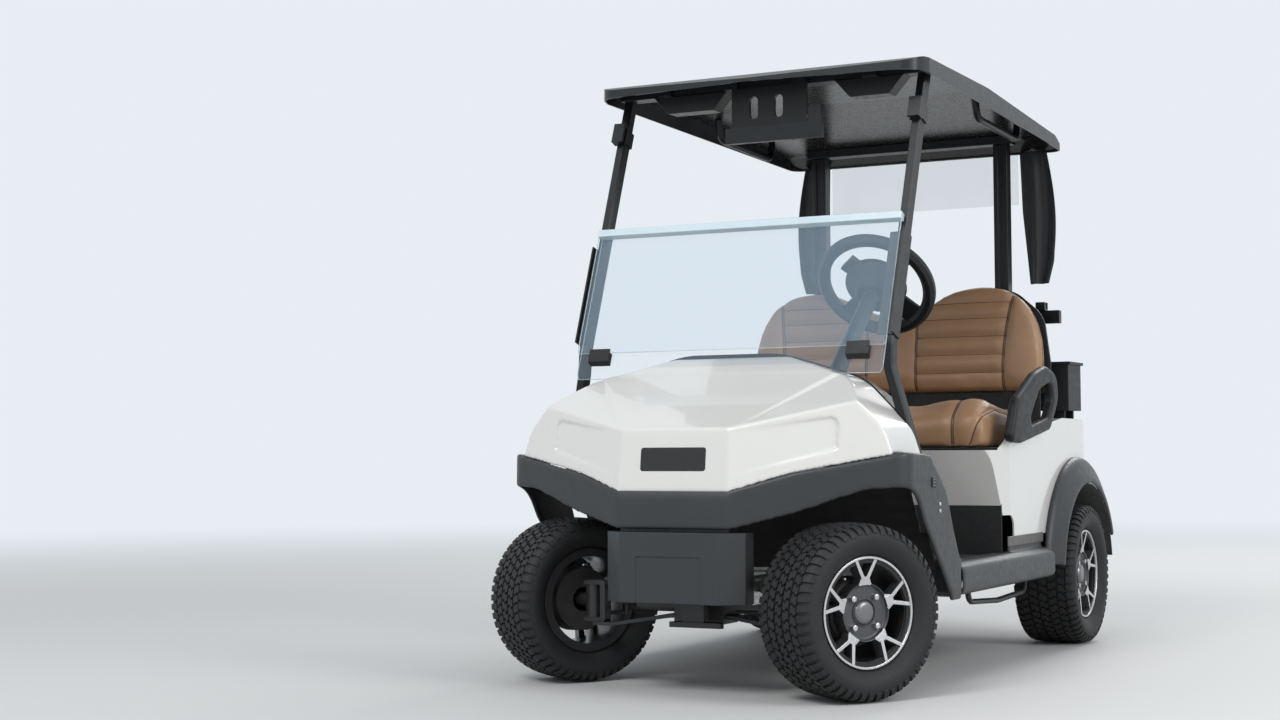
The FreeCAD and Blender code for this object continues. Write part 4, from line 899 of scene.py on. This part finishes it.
def leaned(a, b, depth):
    """A point of the backrest in the frame."""
    turned = Matrix.Rotation(-back_lean, 3, "X") @ Vector((0, depth, b))
    return Vector((a, back_front + turned.y, back_low + turned.z))


def upright(point):
    """The inverse of leaned, as (a, b, depth)."""
    away = Matrix.Rotation(back_lean, 3, "X") @ Vector((0, point.y - back_front, point.z - back_low))
    return point.x, away.z, away.y


# Half of the back's outline, from the dip between its crowns round to its foot
crown = (
    (0.000, 0.308), (0.06, 0.318), (0.131, 0.346), (0.19, 0.373), (0.254, 0.387), (0.323, 0.389),
    (0.391, 0.375), (0.44, 0.349), (0.478, 0.31), (0.51, 0.251), (0.53, 0.168), (0.533, 0.09),
    (0.524, 0.035), (0.49, 0.006), (0.3, 0.002), (0.1, 0.002),
)


def back_outline(inset):
    """Front view of the bench's back: two crowns with a dip between them, drawn in by the inset."""
    whole = [Vector(point) for point in crown] + [Vector((-a, b)) for a, b in reversed(crown[1:])]
    count = len(whole)
    points = []
    for index in range(count):
        before, here, after, beyond = (whole[(index + shift) % count] for shift in (-1, 0, 1, 2))
        for part in range(3):
            t = part / 3
            points.append((before * (-t + 2 * t ** 2 - t ** 3) + here * (2 - 5 * t ** 2 + 3 * t ** 3)
                           + after * (t + 4 * t ** 2 - 3 * t ** 3) + beyond * (t ** 3 - t ** 2)) / 2)
    count = len(points)
    drawn = []
    for index in range(count):
        along = (points[(index + 1) % count] - points[index - 1]).normalized()
        drawn.append(points[index] + Vector((along.y, -along.x)) * inset)
    return drawn


pleat_heights = (0.083, 0.143, 0.204, 0.264, 0.318)
panel_inner = 0.088
panel_outer = 0.402
gusset_depth = 0.05
front_depth = 0.046           # the back's front face ends at this depth
pleat = ((0.0052, 0.017), (0.0032, 0.005))
back_seam = ((0.0046, 0.016), (0.003, 0.004))
gusset_seam = ((0.0028, 0.0045),)
# Outlines from front to rear as (depth, inset)
back_sections = ((0.014, 0.04), (0.016, 0.026), (0.022, 0.016), (0.034, 0.01), (0.06, 0.01),
                 (0.075, 0.014), (0.082, 0.024))


def panel_edge(b):
    """Where the pleated panel ends outwards; the seam leans out towards the top."""
    return panel_outer - 0.012 + 0.03 * max(0.0, (b - 0.12) / 0.25) ** 1.6


def back_pull(place):
    """Depth of the pleats, the double seams and the gusset's seam."""
    a, b, depth = upright(place)
    pull = sunk(depth - gusset_depth, gusset_seam)
    face = min(1.0, (0.045 - depth) / 0.02)
    if face <= 0:
        return pull
    a = abs(a)
    inner, outer = panel_inner, panel_edge(b)
    inside = 1 / (1 + math.exp((inner - a) / 0.004)) / (1 + math.exp((a - outer) / 0.004))
    for height in pleat_heights:
        pull += face * inside * sunk(b - height, pleat)
    for edge in (inner, outer):
        pull += face * sunk(a - edge, back_seam)
    return pull


def seat_back():
    rings = [[leaned(a, b, depth) for a, b in back_outline(inset)] for depth, inset in back_sections]
    back = mesh_piece("bench_back", *solid_between(rings), "leather", "seat_leather")
    inflated(back)
    pulled(back, back_pull)
    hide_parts("seat_back")
    tree = surface_tree(back)
    away = leaned(0, 0, 1) - leaned(0, 0, 0)
    for side, word in sides:
        for line, label in ((lambda b: panel_inner, "inner"), (panel_edge, "outer")):
            for shift, mark in ((-seam_shift, "_a_"), (seam_shift, "_b_")):
                heights = [0.012 + 0.378 * step / 44 for step in range(45)]
                targets = [leaned(side * (line(b) + shift), b, 0) for b in heights]
                path = [p for p in on_surface(tree, targets, away) if upright(p)[2] < front_depth]
                piping("back_piping_" + label + mark + word, path, 0.0016)
    for side, word in sides:
        for index, b in enumerate(pleat_heights):
            reach = panel_edge(b) - panel_inner
            targets = [leaned(side * (panel_inner + reach * step / 30), b, 0) for step in range(31)]
            path = on_surface(tree, targets, away, -0.0002)
            piping("back_pleat_%d_%s" % (index, word), path, 0.001)
    rim = []
    for a, b in back_outline(0.0):
        inner = leaned(a * 0.5, 0.1 + (b - 0.1) * 0.5, gusset_depth)
        outer = leaned(a * 1.2, 0.1 + (b - 0.1) * 1.3, gusset_depth)
        place = tree.ray_cast(outer, (inner - outer).normalized())[0]
        if place is not None:
            rim.append(place)
    piping("back_piping_rim", rim, 0.0019, closed=True)


# Rolled-up cover behind the roof

cover_low, cover_high = (Vector(corner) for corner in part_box("bag_cover"))


# Folds across a flap as (half waves, lean down the flap, depth, growth of the depth)
fold_waves = ((3.2, 1.6, 0.0045, 0.003), (7.3, 4.0, 0.0018, 0.0))
window_half = 0.346
window_low = cover_high.z - 0.176


def hanging_flap(side):
    """A rolled side flap with folds down its length."""
    rows, columns = 30, 26
    middle_y = (cover_low.y + cover_high.y) / 2
    vertices = []
    for row in range(rows + 1):
        share = row / rows
        z = cover_high.z + (cover_low.z - cover_high.z) * share
        inner = 0.352 + 0.014 * share + 0.03 * max(0.0, share - 0.45)
        outer = 0.448 + 0.03 * math.sin(min(1.0, share * 1.3) * math.pi / 1.4) - 0.12 * max(0.0, share - 0.82)
        for column in range(columns + 1):
            u = column / columns
            wave = sum(math.sin(u * count * math.pi + lean * share) * (depth + growth * share)
                       for count, lean, depth, growth in fold_waves)
            vertices.append(Vector((side * (inner + (outer - inner) * u), middle_y + wave, z)))
    return vertices, grid_faces(rows, columns)


def hanging_window():
    """The clear sheet between the flaps, a little wavy at its foot."""
    rows, columns = 10, 48
    vertices = []
    for row in range(rows + 1):
        z = cover_high.z - 0.003 + (window_low - cover_high.z) * row / rows
        for column in range(columns + 1):
            x = -window_half + 2 * window_half * column / columns
            y = cover_high.y - 0.004 + 0.0022 * math.sin(column * 0.55) * row / rows
            vertices.append(Vector((x, y, z)))
    return vertices, grid_faces(rows, columns)


def cover():
    pieces = []
    for side, word in sides:
        flap = mesh_piece("cover_flap_" + word, *hanging_flap(side), "cloth", "cover_fabric")
        modify(flap, "SOLIDIFY", thickness=0.0022, offset=0)
        modify(flap, "SUBSURF", levels=1, render_levels=1)
        pieces.append(flap)
    window = mesh_piece("cover_window", *hanging_window(), "window_sheet", "cover_fabric")
    for piece in pieces + [window]:
        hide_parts("bag_cover")


# Black panels inside the body

rear_axle = (0.73, 0.2295)
liner_radius = 0.2965
liner_thickness = 0.003
liner_x = (0.3, 0.598)
liner_arc = (9, 171)          # degrees, from the rear forwards
liner_steps = 40


def sided(side, low, high):
    """Limits across the cart on one of its sides."""
    return (low, high) if side > 0 else (-high, -low)


def wheel_liners():
    """Arched sheets over the rear wheels."""
    for side, word in sides:
        rings = []
        for step in range(liner_steps + 1):
            y, z = on_face(1, liner_arc[0] + (liner_arc[1] - liner_arc[0]) * step / liner_steps)
            ring = [Vector((side * x, rear_axle[0] + radius * y, rear_axle[1] + radius * z))
                    for x, radius in ((liner_x[0], liner_radius), (liner_x[1], liner_radius),
                                      (liner_x[1], liner_radius + liner_thickness),
                                      (liner_x[0], liner_radius + liner_thickness))]
            rings.append(ring[::-side])
        mesh_piece("liner_rear_" + word, *solid_between(rings), "liner", "black_plastic")


def block(name, x, y, z, material, slot, edge=0.0015):
    """A small moulded block between limits along each axis."""
    corners = [Vector((a, b, c)) for a in x for b in y for c in z]
    faces = [(0, 1, 3, 2), (4, 6, 7, 5), (0, 4, 5, 1), (2, 3, 7, 6), (0, 2, 6, 4), (1, 5, 7, 3)]
    soften(mesh_piece(name, corners, faces, material, slot), edge, 2)


def inner_panels():
    block("back_riser", (-0.505, 0.505), (0.512, 0.52), (0.655, 0.85), "liner", "black_plastic")
    block("kick_panel", (-0.545, 0.545), (-0.034, -0.028), (0.325, 0.48), "liner", "black_plastic")
    for side, word in sides:
        block("rocker_joint_" + word, sided(side, 0.5, 0.59), (-0.572, -0.53), (0.25, 0.345), "charcoal",
              "charcoal_moulding", 0.006)
        block("kick_strip_" + word, sided(side, 0.556, 0.5585), (-0.015, 0.345), (0.352, 0.382),
              "bronze_strip", "hinge_alloy")


# Fittings on the post behind the front wheel

post_face_x = 0.5985
screw_radius = 0.0055
screw_height = 0.0028


def post_fittings():
    """A plate with three slots and two screws on each side."""
    for side, word in sides:
        block("slot_plate_" + word, sided(side, 0.594, 0.6005), (-0.792, -0.76), (0.545, 0.573),
              "black_plastic", "black_plastic", 0.002)
        for index in range(3):
            low = 0.549 + index * 0.0078
            block("slot_%d_%s" % (index, word), sided(side, 0.6, 0.6012), (-0.788, -0.764),
                  (low, low + 0.0036), "gloss_black", "black_plastic", 0.0005)
        for index, z in enumerate((0.5, 0.482)):
            screw(Vector((side * post_face_x, -0.729, z)), Vector((side, 0, 0)),
                  "post_screw_%d_%s" % (index, word))


def screw(place, outward, name):
    """A low domed head with a recess."""
    radius, height = screw_radius, screw_height
    profile = [(-0.0015, 0.0), (height * 0.55, 0.0), (height * 0.55, radius * 0.42), (height, radius * 0.5),
               (height * 0.86, radius * 0.82), (height * 0.25, radius), (-0.0015, radius)]
    vertices, faces = lathe(profile, 18)
    turn = Vector((1, 0, 0)).rotation_difference(outward).to_matrix().to_4x4()
    whole = Matrix.Translation(place) @ turn
    mesh_piece(name, [whole @ v for v in vertices], faces, "zinc", "black_steel")


# Badge

plate_corner_steps = 6


def rounded_plate(half_x, half_z, radius, thickness):
    """A plate in the XZ plane with its face towards -Y."""
    outline = []
    for cx, cz, start in ((1, 1, 0), (-1, 1, 90), (-1, -1, 180), (1, -1, 270)):
        for step in range(plate_corner_steps + 1):
            x, z = on_face(radius, start + 90 * step / plate_corner_steps)
            outline.append((cx * (half_x - radius) + x, cz * (half_z - radius) + z))
    vertices = [Vector((x, y, z)) for y in (0, -thickness) for x, z in outline]
    return vertices, ring_faces(2, len(outline))


def badge():
    """A blank plate with a thin bright rim on the nose."""
    facet = Matrix.Translation((0, -1.1235, 0.624)) @ Matrix.Rotation(-math.atan(0.12), 4, "X")
    for name, size, lift, material, slot in (
        ("badge_rim", (0.099, 0.034, 0.009), 0.0022, "gold", "hinge_alloy"),
        ("badge_face", (0.0965, 0.0315, 0.0075), 0.003, "gloss_black", "black_plastic"),
    ):
        vertices, faces = rounded_plate(*size, lift)
        plate = mesh_piece(name, [facet @ v for v in vertices], faces, material, slot, smooth=False)
        soften(plate, 0.0006, 2)


# Stage

backdrop = (0.8, 0.85, 0.89)
floor_reach = 60.0
floor_fade = (2.5, 12.0)      # distances between which the floor passes into the backdrop


def seen_ray(tree):
    """1 where the camera looks, straight, in a reflection or through a clear piece."""
    rays = put(tree, "ShaderNodeLightPath")
    value = rays.outputs["Is Camera Ray"]
    for kind in ("Is Glossy Ray", "Is Transmission Ray"):
        either = put(tree, "ShaderNodeMath", operation="MAXIMUM")
        link(value, either.inputs[0])
        link(rays.outputs[kind], either.inputs[1])
        value = either.outputs[0]
    return value


def stage():
    """Pale floor, soft lamps and a pale world."""
    mesh = bpy.data.meshes.new("floor")
    corners = ((-1, -1), (1, -1), (1, 1), (-1, 1))
    mesh.from_pydata([(floor_reach * a, floor_reach * b, 0) for a, b in corners], [], [(0, 1, 2, 3)])
    floor = bpy.data.objects.new("floor", mesh)
    bpy.context.scene.collection.objects.link(floor)
    material, tree, shader = new_material("pale_floor")
    set_inputs(shader, {"Base Color": (0.66, 0.66, 0.65, 1), "Roughness": 0.7})
    away = put(tree, "ShaderNodeVectorMath", operation="LENGTH")
    link(place_coords(tree), away.inputs[0])
    fade = put(tree, "ShaderNodeMapRange", interpolation_type="SMOOTHSTEP")
    set_inputs(fade, {"From Min": floor_fade[0], "From Max": floor_fade[1]})
    link(away.outputs["Value"], fade.inputs["Value"])
    share = put(tree, "ShaderNodeMath", operation="MULTIPLY")
    link(fade.outputs["Result"], share.inputs[0])
    link(seen_ray(tree), share.inputs[1])
    glow = put(tree, "ShaderNodeEmission")
    set_inputs(glow, {"Color": (*backdrop, 1)})
    shown = put(tree, "ShaderNodeMixShader")
    link(share.outputs[0], shown.inputs["Fac"])
    link(shader.outputs[0], shown.inputs[1])
    link(glow.outputs[0], shown.inputs[2])
    link(shown.outputs[0], tree.nodes["Material Output"].inputs["Surface"])
    mesh.materials.append(material)
    world = bpy.data.worlds.new("sky")
    bpy.context.scene.world = world
    world.use_nodes = True
    tree = world.node_tree
    plain = tree.nodes["Background"]
    set_inputs(plain, {"Color": (0.82, 0.87, 0.93, 1), "Strength": 0.5})
    pale = put(tree, "ShaderNodeBackground")
    set_inputs(pale, {"Color": (*backdrop, 1)})
    mix = put(tree, "ShaderNodeMixShader")
    link(seen_ray(tree), mix.inputs["Fac"])
    link(plain.outputs[0], mix.inputs[1])
    link(pale.outputs[0], mix.inputs[2])
    link(mix.outputs[0], tree.nodes["World Output"].inputs["Surface"])
    for name, place, aim, size, power in (
        ("key", (-0.8, -7.0, 6.6), (0, 0, 0.7), 3.4, 330),
        ("fill", (7.4, -1.6, 4.4), (0, -0.3, 0.8), 4.2, 250),
        ("back", (0.6, 7.4, 5.6), (0, 0.4, 0.9), 4.0, 260),
    ):
        lamp = bpy.data.lights.new(name, "AREA")
        lamp.shape = "DISK"
        lamp.size = size
        lamp.energy = power
        thing = bpy.data.objects.new(name, lamp)
        thing.location = place
        thing.rotation_euler = (Vector(aim) - Vector(place)).to_track_quat("-Z", "Y").to_euler()
        bpy.context.scene.collection.objects.link(thing)


def camera():
    data = bpy.data.cameras.new("camera")
    data.sensor_width = sensor_width
    data.lens = focal_pixels / image_width * sensor_width
    thing = bpy.data.objects.new("camera", data)
    forward = Vector((-math.sin(camera_yaw) * math.cos(camera_pitch),
                      math.cos(camera_yaw) * math.cos(camera_pitch), math.sin(camera_pitch)))
    right = Vector((math.cos(camera_yaw), math.sin(camera_yaw), 0))
    upward = right.cross(forward)
    rolled_right = right * math.cos(camera_roll) + upward * math.sin(camera_roll)
    rolled_up = upward * math.cos(camera_roll) - right * math.sin(camera_roll)
    turn = Matrix((rolled_right, rolled_up, -forward)).transposed().to_4x4()
    thing.matrix_world = Matrix.Translation(camera_place) @ turn
    bpy.context.scene.collection.objects.link(thing)
    bpy.context.scene.camera = thing


camera()
seat_cushion()
seat_back()
dress_nodes()
dress_parts()
moulded_bodies()
tyres()
rims()
cover()
wheel_liners()
inner_panels()
post_fittings()
badge()
stage()
bpy.context.scene.view_settings.view_transform = "Standard"
